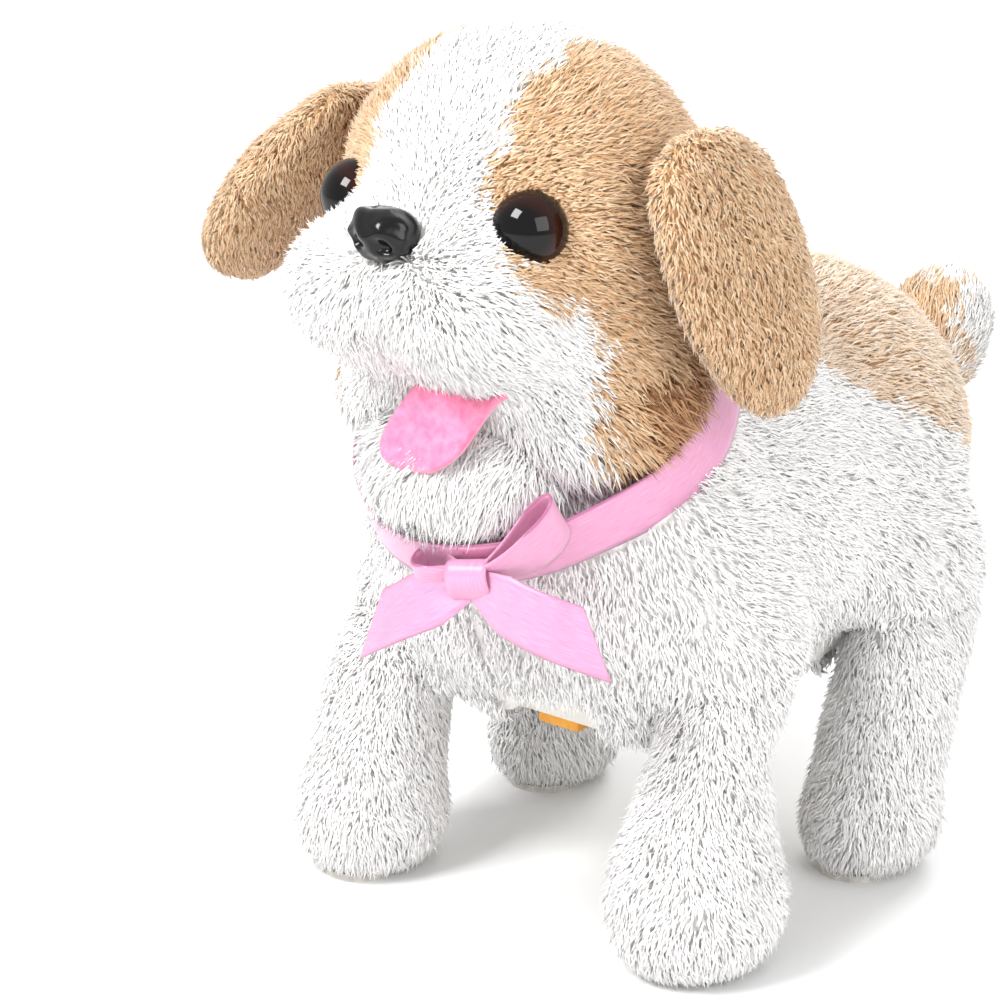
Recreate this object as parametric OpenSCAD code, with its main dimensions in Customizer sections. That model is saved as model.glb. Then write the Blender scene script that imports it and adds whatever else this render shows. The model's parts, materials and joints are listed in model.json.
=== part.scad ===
// Walking plush puppy: a battery walking mechanism inside a soft plush skin.
// Frame: +Z up, the puppy looks towards -Y, its left side is +X.
// The origin is on the floor, under the middle of the whole toy.

/* [Chassis] */
// Width of the moulded chassis box
chassis_w = 50; // [50:0.5:51]
// Height of the chassis belly above the floor
belly_z = 41; // [40.5:0.5:41.5]
// Height of the chassis box
chassis_h = 51; // [51:0.5:52]
// Wall thickness of the chassis halves
wall = 2; // [1.6:0.1:2.2]

/* [Walking gear] */
// Height of the four hip pivots above the floor
hip_z = 60; // [59.5:0.5:60.5]
// Height of the link rods and of the crank axle above the hips
rod_arm = 18; // [17.5:0.5:18.5]
// Throw of the crank pins
crank_throw = 3.1; // [2:0.1:3.2]
// Radius of the crank axle
crank_axle_r = 2; // [1.5:0.1:2]
// Largest swing of a leg to each side, in degrees
leg_swing = 10; // [6:1:10]

/* [Plush] */
// Half width of the chest
chest_half_w = 46; // [44:0.5:47]
// Half width of the skull
skull_half_w = 42; // [41:0.5:42]
// Radius of a front paw
paw_r = 18.5; // [17:0.5:19]
// Thickness of the plush around the head
head_wall = 9; // [8:0.5:10]

/* [Face and ribbon] */
// Radius of an eye dome
eye_r = 7.25; // [6.5:0.25:7.25]
// Half distance between the eyes
eye_x = 21; // [20:0.5:21.5]
// Width of the satin ribbon
ribbon_w = 12.7; // [10:0.1:12.7]

/* [Cells] */
// Diameter of an AA cell
cell_d = 14.5; // [13.5:0.1:14.5]
// Length of an AA cell
cell_l = 50.5; // [49:0.5:50.5]

/* [Hidden] */

// Smoothness of round metal and plastic, and of the soft shapes
round_fn = 40;
soft_fn = 20;
rod_fn = 32;
// Running clearance in bearings, gap between plush parts, room around a rigid part in plush
run = 0.05;
gap = 0.6;
room = 0.4;

// Plastic, metal and cloth colours
white_plush = "#f4f1ec";
tan_plush = "#d2a677";
abs_white = "#e9e7e0";
steel = "#b9bcc0";
nylon = "#efe9d8";
satin = "#e39fc2";

// Chassis box
half_w = chassis_w/2;
front_y = -48;
rear_y = 42;
top_z = belly_z + chassis_h;
inner_top = top_z - wall;
inner_floor = belly_z + wall;

// Hips, rods and crank
hip_front_y = -37;
hip_hind_y = 23;
rod_z = hip_z + rod_arm;
crank_y = (hip_front_y + hip_hind_y)/2;
lever_x = half_w + 0.5;
lever_t = 2.5;
rod_x = lever_x + lever_t + 0.6;
rod_t = 1.8;
pin_r = 2;
pivot_r = 2;
pivot_head_r = 3.6;
hip_boss_r = 4;

// Gear train: module 0.5 wheels on axles across the chassis
tooth = 0.5;
pinion_n = 8;
first_n = 32;
small_n = 10;
second_n = 30;
final_n = 36;
mesh_gap = 0.1;
final_dist = (final_n + small_n)*tooth/2 + mesh_gap;
second_dist = (second_n + small_n)*tooth/2 + mesh_gap;
first_dist = (first_n + pinion_n)*tooth/2 + mesh_gap;
first_dir = -37;
motor_dir = 15;
second_y = crank_y + final_dist;
first_y = second_y + second_dist*cos(first_dir);
first_z = rod_z + second_dist*sin(first_dir);
motor_y = first_y + first_dist*cos(motor_dir);
motor_z = first_z + first_dist*sin(motor_dir);
plate_x = 2.4;
plate_t = 1;
axle_r = 1;

// Chassis screw places (y, z)
screw_spots = [[-42.5, 66], [-42.5, 86], [36.5, 66], [36.5, 86]];
screw_r = 1.4;
boss_r = 3;

// Battery bay and door
cell_x = cell_d/2 + 0.35;
cell_z = inner_floor + cell_d/2 + 2.2;
cell_y0 = -12.5;
door_half_w = 16.8;
door_y0 = -21;
door_y1 = 39.8;
door_screw = [6, -18];
door_screw_r = 1.2;
door_boss_h = 9;

// Slide switch
switch_y = -38;
knob_y = -40;

// Neck joint, jaw joint and tail joint
neck_y = -46;
neck_z = 126;
neck_r = 2;
jaw_y = -60;
jaw_z = 115;
jaw_r = 1.5;
tail_y = 48;
tail_z = 86;
tail_r = 1.5;
nod_up = 6;
jaw_close = 6;
tail_lean = 11;
tail_low = -8;
tail_high = 26;

// Ribbon ring round the neck: it leans back, and its plane splits the neck
ring_c = [0, -50, 103];
ring_r = 37;
ring_t = 0.8;
knot_r = 2.4;
ring_lean = 33;
bow_turn = 15;
split_high = ribbon_w/2 + 1.2;
split_low = split_high - 0.6;

// ---------- helpers ----------

// One soft ellipsoid with centre c and half sizes r
module blob(c, r, fn = soft_fn) {
    translate(c) hull() scale(r) sphere(r = 1, $fn = fn);
}

// A soft shape along a row of stations, each [centre, half sizes], with n steps between two
module soft_chain(stations, n = 3, fn = soft_fn, grow = 0) {
    for (i = [0:len(stations) - 2])
        for (k = [0:n - 1])
            hull() {
                for (s = [k/n, (k + 1)/n]) {
                    centre = stations[i][0]*(1 - s) + stations[i + 1][0]*s;
                    size = stations[i][1]*(1 - s) + stations[i + 1][1]*s;
                    translate(centre) scale([size[0] + grow, size[1] + grow, size[2] + grow])
                        sphere(r = 1, $fn = fn);
                }
            }
}

// A bar along X from x0 to x1 at (y, z)
module bar_x(x0, x1, y, z, r, fn = round_fn) {
    translate([x0, y, z]) rotate([0, 90, 0]) cylinder(r = r, h = x1 - x0, $fn = fn);
}

// A box between two corners
module span(low, high) {
    translate(low) cube(high - low);
}

// The children turned by an angle about an X axis through (y, z)
module turn_x(angle, y, z) {
    translate([0, y, z]) rotate([angle, 0, 0]) translate([0, -y, -z]) children();
}

// A toothed wheel along X; the teeth stop at the pitch line, so two wheels never touch
module wheel(x0, x1, y, z, n, bore) {
    pitch_r = n*tooth/2;
    root_r = pitch_r - 0.9*tooth;
    tooth_w = PI*tooth/2.2;
    translate([x0, y, z]) rotate([0, 90, 0]) linear_extrude(x1 - x0) difference() {
        union() {
            circle(r = root_r, $fn = round_fn);
            for (i = [0:n - 1])
                rotate(i*360/n) translate([0, -tooth_w/2]) square([pitch_r, tooth_w]);
        }
        circle(r = bore, $fn = rod_fn);
    }
}

// ---------- chassis ----------

// The whole chassis shell before it is split at the middle plane
module chassis_shell() {
    difference() {
        union() {
            difference() {
                span([-half_w, front_y, belly_z], [half_w, rear_y, top_z]);
                span([-half_w + wall, front_y + wall, inner_floor],
                     [half_w - wall, rear_y - wall, inner_top]);
            }
            for (s = screw_spots)
                bar_x(-half_w + 1, half_w - 1, s[0], s[1], boss_r);
            for (y = [hip_front_y, hip_hind_y])
                for (side = [0, 1])
                    mirror([side, 0, 0]) bar_x(17, half_w - 1, y, hip_z, hip_boss_r);
            span([-half_w + 1, cell_y0 - 3, cell_z + cell_d/2 + 0.4],
                 [half_w - 1, rear_y - 1, cell_z + cell_d/2 + 1.6]);
            span([-half_w + 1, cell_y0 - 3, inner_floor],
                 [half_w - 1, cell_y0 - 1.6, cell_z + cell_d/2 + 1]);
            span([door_screw[0] - 1, door_screw[1], inner_floor],
                 [door_screw[0] + 1, cell_y0 - 2, inner_floor + door_boss_h]);
            translate([door_screw[0], door_screw[1], inner_floor])
                cylinder(r = boss_r, h = door_boss_h, $fn = rod_fn);
        }
        span([-door_half_w - 0.2, door_y0 - 0.2, belly_z - 1],
             [door_half_w + 0.2, door_y1 + 0.2, inner_floor]);
        translate([door_screw[0], door_screw[1], belly_z]) cylinder(r = door_screw_r, h = 9, $fn = rod_fn);
        span([-3.3, switch_y - 6.5, belly_z - 1], [3.3, switch_y + 6.5, inner_floor + 1]);
        bar_x(-half_w - 1, half_w + 1, crank_y, rod_z, crank_axle_r + run);
        for (s = screw_spots) {
            bar_x(-half_w - 1, 0, s[0], s[1], screw_r + run);
            bar_x(-0.5, 18, s[0], s[1], screw_r);
            bar_x(-half_w - 1, -half_w + 1.6, s[0], s[1], 2.7);
        }
        for (y = [hip_front_y, hip_hind_y])
            for (side = [0, 1])
                mirror([side, 0, 0]) bar_x(18, half_w + 1, y, hip_z, pivot_r, rod_fn);
        bar_x(half_w - wall - 1, half_w - 0.5, second_y, rod_z, axle_r, rod_fn);
        bar_x(half_w - wall - 1, half_w - 0.5, first_y, first_z, axle_r, rod_fn);
        for (x = [-6:3:6])
            span([x - 0.5, front_y - 1, 76], [x + 0.5, front_y + wall + 1, 86]);
    }
}

module chassis_left() {
    color(abs_white) intersection() {
        chassis_shell();
        span([0, front_y - 5, belly_z - 5], [half_w + 5, rear_y + 5, top_z + 5]);
    }
}

module chassis_right() {
    color(abs_white) intersection() {
        chassis_shell();
        span([-half_w - 5, front_y - 5, belly_z - 5], [0, rear_y + 5, top_z + 5]);
    }
}

// Four self-tapping screws that close the two halves from the right
module chassis_screws() {
    color(steel) for (s = screw_spots) difference() {
        union() {
            bar_x(-half_w + 1.6, 17, s[0], s[1], screw_r);
            bar_x(-half_w + 0.1, -half_w + 1.6, s[0], s[1], 2.6);
        }
        span([-half_w, s[0] - 2, s[1] - 0.3], [-half_w + 0.9, s[0] + 2, s[1] + 0.3]);
        span([-half_w, s[0] - 0.3, s[1] - 2], [-half_w + 0.9, s[0] + 0.3, s[1] + 2]);
    }
}

// Battery cover with finger ribs, flush with the belly
module battery_door() {
    color(abs_white) difference() {
        span([-door_half_w, door_y0, belly_z], [door_half_w, door_y1, belly_z + 1.6]);
        translate([door_screw[0], door_screw[1], belly_z - 1]) cylinder(r = 1.5, h = 5, $fn = rod_fn);
        translate([door_screw[0], door_screw[1], belly_z - 1]) cylinder(r = 2.7, h = 1.8, $fn = rod_fn);
        for (k = [0:4])
            span([-9, 26 + 2.4*k, belly_z - 1], [9, 27 + 2.4*k, belly_z + 0.5]);
    }
}

module battery_door_screw() {
    color(steel) translate([door_screw[0], door_screw[1], 0]) difference() {
        union() {
            translate([0, 0, belly_z + 0.1]) cylinder(r = 2.4, h = 0.7, $fn = rod_fn);
            translate([0, 0, belly_z + 0.8]) cylinder(r = door_screw_r, h = 7, $fn = rod_fn);
        }
        span([-2, -0.3, belly_z - 1], [2, 0.3, belly_z + 0.5]);
        span([-0.3, -2, belly_z - 1], [0.3, 2, belly_z + 0.5]);
    }
}

// Two AA cells side by side, the second turned end for end
module aa_cells() {
    color("#2f6f9f") for (side = [-1, 1])
        translate([side*cell_x, cell_y0 + cell_l/2, cell_z]) rotate([side*90, 0, 0]) {
            translate([0, 0, -cell_l/2]) cylinder(d = cell_d, h = cell_l - 1, $fn = round_fn);
            translate([0, 0, cell_l/2 - 1]) cylinder(d = 5.5, h = 1, $fn = round_fn);
        }
}

// Two coil springs at the rear wall, each as four close turns
module contact_springs() {
    color(steel) for (side = [-1, 1])
        for (k = [0:3])
            translate([side*cell_x, cell_y0 + cell_l + 0.35 + 0.4*k, cell_z]) rotate([90, 0, 0])
                rotate_extrude($fn = rod_fn) translate([4.2 - 0.5*k, 0]) circle(r = 0.3, $fn = 16);
}

// The plate that joins the two cells at the front of the bay
module contact_strip() {
    color(steel) span([-15, cell_y0 - 0.7, cell_z - 5], [15, cell_y0 - 0.2, cell_z + 5]);
}

// ---------- drive ----------

// Small flat-sided motor with its shaft towards the left
module motor() {
    color(steel) {
        intersection() {
            bar_x(plate_x - 25, plate_x, motor_y, motor_z, 10);
            span([plate_x - 26, motor_y - 7.5, motor_z - 12], [plate_x + 1, motor_y + 7.5, motor_z + 12]);
        }
        bar_x(plate_x - 0.5, 8, motor_y, motor_z, axle_r);
    }
}

// Steel plate that carries the motor and the inner ends of the gear axles
module gearbox_plate() {
    color("#9fa3a8") difference() {
        span([plate_x, -3.5, 64.5], [plate_x + plate_t, 33, 89]);
        bar_x(0, 6, motor_y, motor_z, 3);
        bar_x(0, 6, second_y, rod_z, axle_r, rod_fn);
        bar_x(0, 6, first_y, first_z, axle_r, rod_fn);
    }
}

// Two fixed steel pins that the compound wheels turn on
module gear_axles() {
    color(steel) {
        bar_x(plate_x, half_w - 0.5, second_y, rod_z, axle_r, rod_fn);
        bar_x(plate_x, half_w - 0.5, first_y, first_z, axle_r, rod_fn);
    }
}

module motor_pinion() {
    color(nylon) wheel(4, 7.5, motor_y, motor_z, pinion_n, axle_r + run);
}

module gear_first() {
    color(nylon) {
        wheel(4, 7.5, first_y, first_z, first_n, axle_r + run);
        wheel(7.5, 11.6, first_y, first_z, small_n, axle_r + run);
    }
}

module gear_second() {
    color(nylon) {
        wheel(8.2, 11.6, second_y, rod_z, second_n, axle_r + run);
        wheel(11.6, 16.2, second_y, rod_z, small_n, axle_r + run);
    }
}

module final_gear() {
    color(nylon) {
        wheel(12.4, 16.2, crank_y, rod_z, final_n, crank_axle_r);
        translate([16.2, crank_y, rod_z]) rotate([0, 90, 0]) difference() {
            cylinder(r = 4, h = 4, $fn = round_fn);
            translate([0, 0, -1]) cylinder(r = crank_axle_r, h = 6, $fn = rod_fn);
        }
    }
}

module crank_axle() {
    color(steel) bar_x(-half_w - 3, half_w + 3, crank_y, rod_z, crank_axle_r, rod_fn);
}

// Disc with an offset pin; the two sides stand half a turn apart
module crank_disc(side) {
    pin_y = crank_y + side*crank_throw;
    mirror([side < 0 ? 1 : 0, 0, 0]) difference() {
        union() {
            bar_x(lever_x, lever_x + lever_t, crank_y, rod_z, 8);
            bar_x(lever_x, rod_x + rod_t + 0.9, pin_y, rod_z, 1.5);
        }
        bar_x(lever_x - 1, half_w + 3, crank_y, rod_z, crank_axle_r, rod_fn);
    }
}

module crank_disc_left() {
    color(nylon) crank_disc(1);
}

module crank_disc_right() {
    color(nylon) crank_disc(-1);
}

// Rod that joins the front and the hind lever of one side, with a window round the crank pin
module link_rod() {
    window_y = crank_throw + rod_arm*sin(leg_swing) + 2.1;
    window_z = crank_throw + 2.6;
    rim = 2.4;
    difference() {
        union() {
            for (y = [hip_front_y, hip_hind_y])
                bar_x(rod_x, rod_x + rod_t, y, rod_z, 4.4);
            span([rod_x, hip_front_y, rod_z - 3.2], [rod_x + rod_t, hip_hind_y, rod_z + 3.2]);
            span([rod_x, crank_y - window_y - rim, rod_z - window_z - rim],
                 [rod_x + rod_t, crank_y + window_y + rim, rod_z + window_z + rim]);
        }
        for (y = [hip_front_y, hip_hind_y])
            bar_x(rod_x - 1, rod_x + rod_t + 1, y, rod_z, pin_r + run);
        span([rod_x - 1, crank_y - window_y, rod_z - window_z],
             [rod_x + rod_t + 1, crank_y + window_y, rod_z + window_z]);
    }
}

module link_rod_left() {
    color(nylon) link_rod();
}

module link_rod_right() {
    color(nylon) mirror([1, 0, 0]) link_rod();
}

// ---------- legs ----------

// Each leg is [side, hip y, foot y, stations of its cover]
function leg_data(name) =
    name == "front_left" ? [1, hip_front_y, -51,
        [[[43, hip_front_y, 60], [9, 15, 15]], [[39.5, -46, 42], [11.5, 12.5, 12]],
         [[40.5, -51, 17], [paw_r, 19, 17]], [[40.5, -51, 7], [paw_r - 2.5, 17, 7]]]] :
    name == "front_right" ? [-1, hip_front_y, -56,
        [[[-43, hip_front_y, 60], [9, 15, 15]], [[-41, -51, 38], [13, 13.5, 13]],
         [[-40.5, -56, 15], [16, 17, 16]], [[-40.5, -56, 7], [14, 15, 7]]]] :
    name == "hind_left" ? [1, hip_hind_y, 10.5,
        [[[42, hip_hind_y, 58], [10, 21, 21]], [[41, 15, 34], [14, 15, 16]],
         [[40.5, 10.5, 14], [14, 15, 14]], [[40.5, 10.5, 6.5], [12.5, 13.5, 6.5]]]] :
    [-1, hip_hind_y, 5,
        [[[-42, hip_hind_y, 58], [10, 21, 21]], [[-41, 12, 34], [14, 15, 16]],
         [[-40.5, 5, 14], [14, 15, 14]], [[-40.5, 5, 6.5], [12.5, 13.5, 6.5]]]];

foot_x = 40;
shin_top = 51;
shin_low = 5;
sole_t = 1.5;
sole_r = 8;
sole_reach = 4.5;

// Lever: upper arm beside the chassis, a step outwards, a leaning shin and a foot plate
module leg_lever(d, grow = 0) {
    side = d[0];
    hip_y = d[1];
    foot_y = d[2];
    lean = atan((hip_y - foot_y)/(shin_top - shin_low));
    shin_l = sqrt(pow(hip_y - foot_y, 2) + pow(shin_top - shin_low, 2));
    shin_w = 3.4;
    shin_d = 7;
    x1 = lever_x + lever_t;
    mirror([side < 0 ? 1 : 0, 0, 0]) difference() {
        union() {
            bar_x(lever_x - grow, x1 + grow, hip_y, rod_z, 4 + grow);
            bar_x(lever_x - grow, x1 + grow, hip_y, hip_z, 6 + grow);
            span([lever_x - grow, hip_y - 4 - grow, shin_top - 3 - grow],
                 [x1 + grow, hip_y + 4 + grow, rod_z + grow]);
            span([lever_x - grow, hip_y - 4 - grow, shin_top - 3 - grow],
                 [foot_x + 2 + grow, hip_y + 4 + grow, shin_top + grow]);
            translate([foot_x - shin_w/2 - grow, hip_y, shin_top]) rotate([-lean, 0, 0])
                translate([0, -shin_d/2 - grow, -shin_l])
                    cube([shin_w + 2*grow, shin_d + 2*grow, shin_l - 1.5]);
            span([foot_x - 8 - grow, foot_y - 10 - grow, 3 - grow],
                 [foot_x + 8 + grow, foot_y + 10 + grow, shin_low + 1 + grow]);
            if (grow == 0)
                bar_x(x1 - 0.5, rod_x + rod_t + 0.6, hip_y, rod_z, pin_r, rod_fn);
        }
        if (grow == 0)
            bar_x(lever_x - 1, x1 + 1, hip_y, hip_z, pivot_r + run, rod_fn);
    }
}

// Stuffed plush leg round the lever, open to the lever from its inner side
module leg_cover(d) {
    side = d[0];
    inner_x = rod_x + rod_t + 1.6;
    difference() {
        soft_chain(d[3], 3, 16);
        span([-80, -100, -5], [80, 100, sole_t + 0.1]);
        mirror([side < 0 ? 1 : 0, 0, 0]) span([-5, -100, 45], [inner_x, 100, 100]);
        leg_lever(d, room);
    }
}

// Felt sole under a paw: a flat plate with round ends
module sole(d) {
    translate([d[0]*foot_x, d[2], 0]) linear_extrude(sole_t) union() {
        translate([-sole_r, -sole_reach]) square([2*sole_r, 2*sole_reach]);
        for (y = [-sole_reach, sole_reach])
            translate([0, y]) circle(r = sole_r, $fn = round_fn);
    }
}

module leg_lever_front_left() { color(abs_white) leg_lever(leg_data("front_left")); }
module leg_lever_front_right() { color(abs_white) leg_lever(leg_data("front_right")); }
module leg_lever_hind_left() { color(abs_white) leg_lever(leg_data("hind_left")); }
module leg_lever_hind_right() { color(abs_white) leg_lever(leg_data("hind_right")); }
module leg_cover_front_left() { color(white_plush) leg_cover(leg_data("front_left")); }
module leg_cover_front_right() { color(white_plush) leg_cover(leg_data("front_right")); }
module leg_cover_hind_left() { color(white_plush) leg_cover(leg_data("hind_left")); }
module leg_cover_hind_right() { color(white_plush) leg_cover(leg_data("hind_right")); }
module sole_front_left() { color("#d8d5d0") sole(leg_data("front_left")); }
module sole_front_right() { color("#d8d5d0") sole(leg_data("front_right")); }
module sole_hind_left() { color("#d8d5d0") sole(leg_data("hind_left")); }
module sole_hind_right() { color("#d8d5d0") sole(leg_data("hind_right")); }

// Four shoulder screws that the levers turn on
module leg_pivot_screws() {
    head_x = lever_x + lever_t + 0.15;
    color(steel) for (y = [hip_front_y, hip_hind_y])
        for (side = [0, 1])
            mirror([side, 0, 0]) difference() {
                union() {
                    bar_x(18, head_x, y, hip_z, pivot_r, rod_fn);
                    bar_x(head_x, head_x + 1.45, y, hip_z, pivot_head_r, rod_fn);
                }
                span([head_x + 0.75, y - 2.4, hip_z - 0.4], [head_x + 3, y + 2.4, hip_z + 0.4]);
            }
}

// ---------- switch and sound ----------

// Slide switch body on the chassis floor, with a channel for the knob's stem
module switch_body() {
    color("#3a3a3a") difference() {
        span([-6, switch_y - 7.5, inner_floor], [6, switch_y + 7.5, inner_floor + 6.5]);
        span([-2.8, switch_y - 6, inner_floor - 1], [2.8, switch_y + 6, inner_floor + 3]);
    }
}

// Yellow knob under the belly; its stem goes up into the switch
module switch_knob() {
    color("#f0a51e") difference() {
        union() {
            span([-2.5, knob_y - 2.5, belly_z - 0.5], [2.5, knob_y + 2.5, inner_floor + 2.5]);
            span([-5, knob_y - 4, belly_z - 4], [5, knob_y + 4, belly_z - 0.4]);
        }
        for (k = [-1:1])
            span([-6, knob_y - 0.4 + 2.2*k, belly_z - 5], [6, knob_y + 0.4 + 2.2*k, belly_z - 3.4]);
    }
}

// Circuit board with its sound chip, a capacitor and a pair of small parts
module sound_board() {
    color("#2f7a4a") {
        span([-half_w + wall, -44, 71], [half_w - wall, -22, 72.4]);
        span([-6, -38, 72.4], [6, -30, 74.2]);
        translate([12, -34, 72.4]) cylinder(r = 3, h = 5, $fn = rod_fn);
        for (x = [-15, -11])
            span([x - 1, -36, 72.4], [x + 1, -32, 73.4]);
    }
}

module speaker() {
    color("#55585c") translate([0, -27, inner_top]) mirror([0, 0, 1]) rotate_extrude($fn = round_fn)
        polygon([[0, 2.2], [6, 0.9], [10.5, 0], [12, 0], [12, 2], [9, 3.2], [6, 3.2], [6, 6.5], [0, 6.5]]);
}

// ---------- neck and tail supports ----------

module neck_post() {
    color(abs_white) difference() {
        union() {
            span([-10, -48, top_z], [10, -32, top_z + 2]);
            span([-6, neck_y - 2, top_z], [6, neck_y + 5, neck_z - 2]);
            bar_x(-6, 6, neck_y, neck_z, 5.5);
        }
        bar_x(-7, 7, neck_y, neck_z, neck_r + run, rod_fn);
    }
}

// U bracket behind the chassis, between whose arms the tail lever turns
module tail_bracket() {
    color(abs_white) difference() {
        union() {
            span([-6, rear_y, tail_z - 6], [6, rear_y + 1.6, tail_z + 6]);
            for (z = [tail_z - 6, tail_z + 3.6]) {
                span([-4, rear_y, z], [4, tail_y, z + 2.4]);
                translate([0, tail_y, z]) cylinder(r = 4, h = 2.4, $fn = round_fn);
            }
        }
        translate([0, tail_y, tail_z - 10]) cylinder(r = tail_r, h = 20, $fn = rod_fn);
    }
}

module tail_pin() {
    color(steel) translate([0, tail_y, tail_z - 6.5]) cylinder(r = tail_r, h = 13, $fn = rod_fn);
}

module tail_lever() {
    color(abs_white) difference() {
        union() {
            translate([0, tail_y, tail_z - 3]) cylinder(r = 3.4, h = 6, $fn = round_fn);
            tail_arm();
        }
        translate([0, tail_y, tail_z - 4]) cylinder(r = tail_r + run, h = 8, $fn = rod_fn);
    }
}

// Stations of the tail: it curls up and leans to the left
tail_stations = [[[3, 70, 86], [7.5, 7, 8]], [[7, 79, 92], [10, 10, 10.5]], [[9, 82, 101], [9.5, 9.5, 9]]];

// Flat arm of the tail lever, which leans to the left as the tail does
module tail_arm(grow = 0) {
    translate([0, tail_y, tail_z]) rotate([0, 0, -tail_lean])
        translate([-2 - grow, 0, -1.6 - grow]) cube([4 + 2*grow, 32 + grow, 3.2 + 2*grow]);
}

// The children turned about the tail pin
module turn_tail(angle) {
    translate([0, tail_y, 0]) rotate([0, 0, angle]) translate([0, -tail_y, 0]) children();
}

// Short fluffy tail that curls up, hollow for its lever
module tail_cover() {
    color(tan_plush) difference() {
        soft_chain(tail_stations, 4, soft_fn);
        translate([0, tail_y, 60]) cylinder(r = 17.5, h = 60, $fn = 64);
        tail_arm(room);
    }
}

// ---------- body plush ----------

// The slab that the neck plane cuts away, above (side 1) or below (side -1) an offset
module neck_slab(offset_z, side) {
    translate(ring_c) rotate([ring_lean, 0, 0])
        translate([-120, -220, side > 0 ? offset_z : offset_z - 300]) cube([240, 440, 300]);
}

// Everything that the swinging legs need beside the chassis
module leg_room(name) {
    d = leg_data(name);
    x0 = lever_x - 0.2;
    mirror([d[0] < 0 ? 1 : 0, 0, 0])
        for (a = [-leg_swing, 0, leg_swing])
            turn_x(a, d[1], hip_z)
                hull()
                    for (s = d[3])
                        bar_x(x0, 75, s[0][1], s[0][2], max(s[1][1], s[1][2]) + gap, 24);
}

module body_cover() {
    color(white_plush) difference() {
        union() {
            blob([0, -40, 72], [chest_half_w, 32, 34], 24);
            blob([0, -5, 78], [44, 44, 38], 24);
            blob([0, 31, 80], [43, 34, 39], 24);
            blob([0, -46, 94], [38, 35, 26], 24);
        }
        neck_slab(split_low, 1);
        translate(ring_c) rotate([ring_lean, 0, 0]) translate([0, 0, -ribbon_w/2 - 0.3]) difference() {
            cylinder(r = 80, h = ribbon_w + 4, $fn = 48);
            translate([0, 0, -1]) cylinder(r = ring_r - 0.3, h = ribbon_w + 6, $fn = 48);
        }
        span([-half_w - 7.6, front_y - 1.5, 46], [half_w + 7.6, rear_y + 1, top_z + 0.6]);
        span([-half_w - 0.5, front_y - 1.5, 20], [half_w + 0.5, rear_y + 1, 60]);
        span([-11, -53, 80], [11, -28, 140]);
        span([-13, -67, 98], [13, -26, 140]);
        translate([0, tail_y, tail_z - 8]) linear_extrude(16)
            polygon([[-7, -8], [7, -8], [19, 40], [-16, 40]]);
        for (a = [tail_low, (tail_low + tail_high)/2, tail_high])
            turn_tail(a) soft_chain(tail_stations, 1, 16, gap);
        for (n = ["front_left", "front_right", "hind_left", "hind_right"])
            leg_room(n);
    }
}

// ---------- head ----------

module head_shape(grow = 0, fn = 28) {
    blob([0, -55, 142.5], [skull_half_w + grow, 34 + grow, 41 + grow], fn);
    blob([0, -57, 125], [39 + grow, 26 + grow, 22 + grow], fn);
    blob([0, -82, 136], [32 + grow, 21 + grow, 16 + grow], fn);
    blob([0, -50, 113], [37 + grow, 28 + grow, 18 + grow], fn);
}

// Chin shape of the jaw
module chin_shape(grow = 0, fn = soft_fn) {
    blob([0, -67, 97], [26 + grow, 21 + grow, 17 + grow], fn);
}

eye_place = [eye_x, -79, 149.6];
eye_out = 20;
nose_place = [0, -94, 149];
ear_hinge_x = 40;
ear_hinge_z = 167;

// Stations of an ear: [centre, half sizes] from its sewn edge to its tip
ear_left_stations = [[[43, -58, 161], [4, 13, 7]], [[48, -52, 141], [4.5, 15, 12]],
                     [[51, -43, 121], [4.5, 9.5, 9]]];
ear_right_stations = [[[-45, -54, 160], [4, 14, 6]], [[-61, -54, 145], [6, 15, 9]],
                      [[-74, -55, 129], [6, 13, 9]]];

// An axis that points out of the left (side 1) or right (side -1) eye
module at_eye(side) {
    translate([side*eye_place[0], eye_place[1], eye_place[2]]) rotate([0, 0, side*eye_out])
        rotate([90, 0, 0]) children();
}

module head_cover() {
    color(white_plush) difference() {
        head_shape();
        blob([0, -55, 143], [skull_half_w - head_wall, 34 - head_wall, 41 - head_wall], 24);
        hull() {
            span([-14, -66, 100], [14, -26, 101]);
            span([-14, -70, 130], [14, -34, 131]);
        }
        span([-14, -84, 101.5], [14, -50, 119.2]);
        for (a = [0, nod_up])
            turn_x(a, neck_y, neck_z) neck_slab(split_high, -1);
        for (a = [0, jaw_close/2, jaw_close])
            turn_x(-a, jaw_y, jaw_z) {
                chin_shape(gap);
                tongue_shape(gap);
            }
        for (side = [-1, 1])
            at_eye(side) {
                cylinder(r = eye_r + 0.3, h = 20, $fn = 32);
                translate([0, 0, -12]) cylinder(r = 2.1, h = 14, $fn = 24);
                translate([0, 0, -12]) cylinder(r = 6.4, h = 8, $fn = 24);
            }
        translate(nose_place) rotate([90, 0, 0]) {
            translate([0, 0, -7]) cylinder(r = 2.1, h = 12, $fn = 24);
            cylinder(r = 8.4, h = 20, $fn = 32);
        }
        ear_room(1, ear_left_stations);
        ear_room(-1, ear_right_stations);
    }
}

// Room beside the head for an ear and its lift
module ear_room(side, stations) {
    for (a = [0, 25, 50])
        translate([side*ear_hinge_x, 0, ear_hinge_z]) rotate([0, -side*a, 0])
            translate([-side*ear_hinge_x, 0, -ear_hinge_z]) soft_chain(stations, 1, 16, gap);
}

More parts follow.
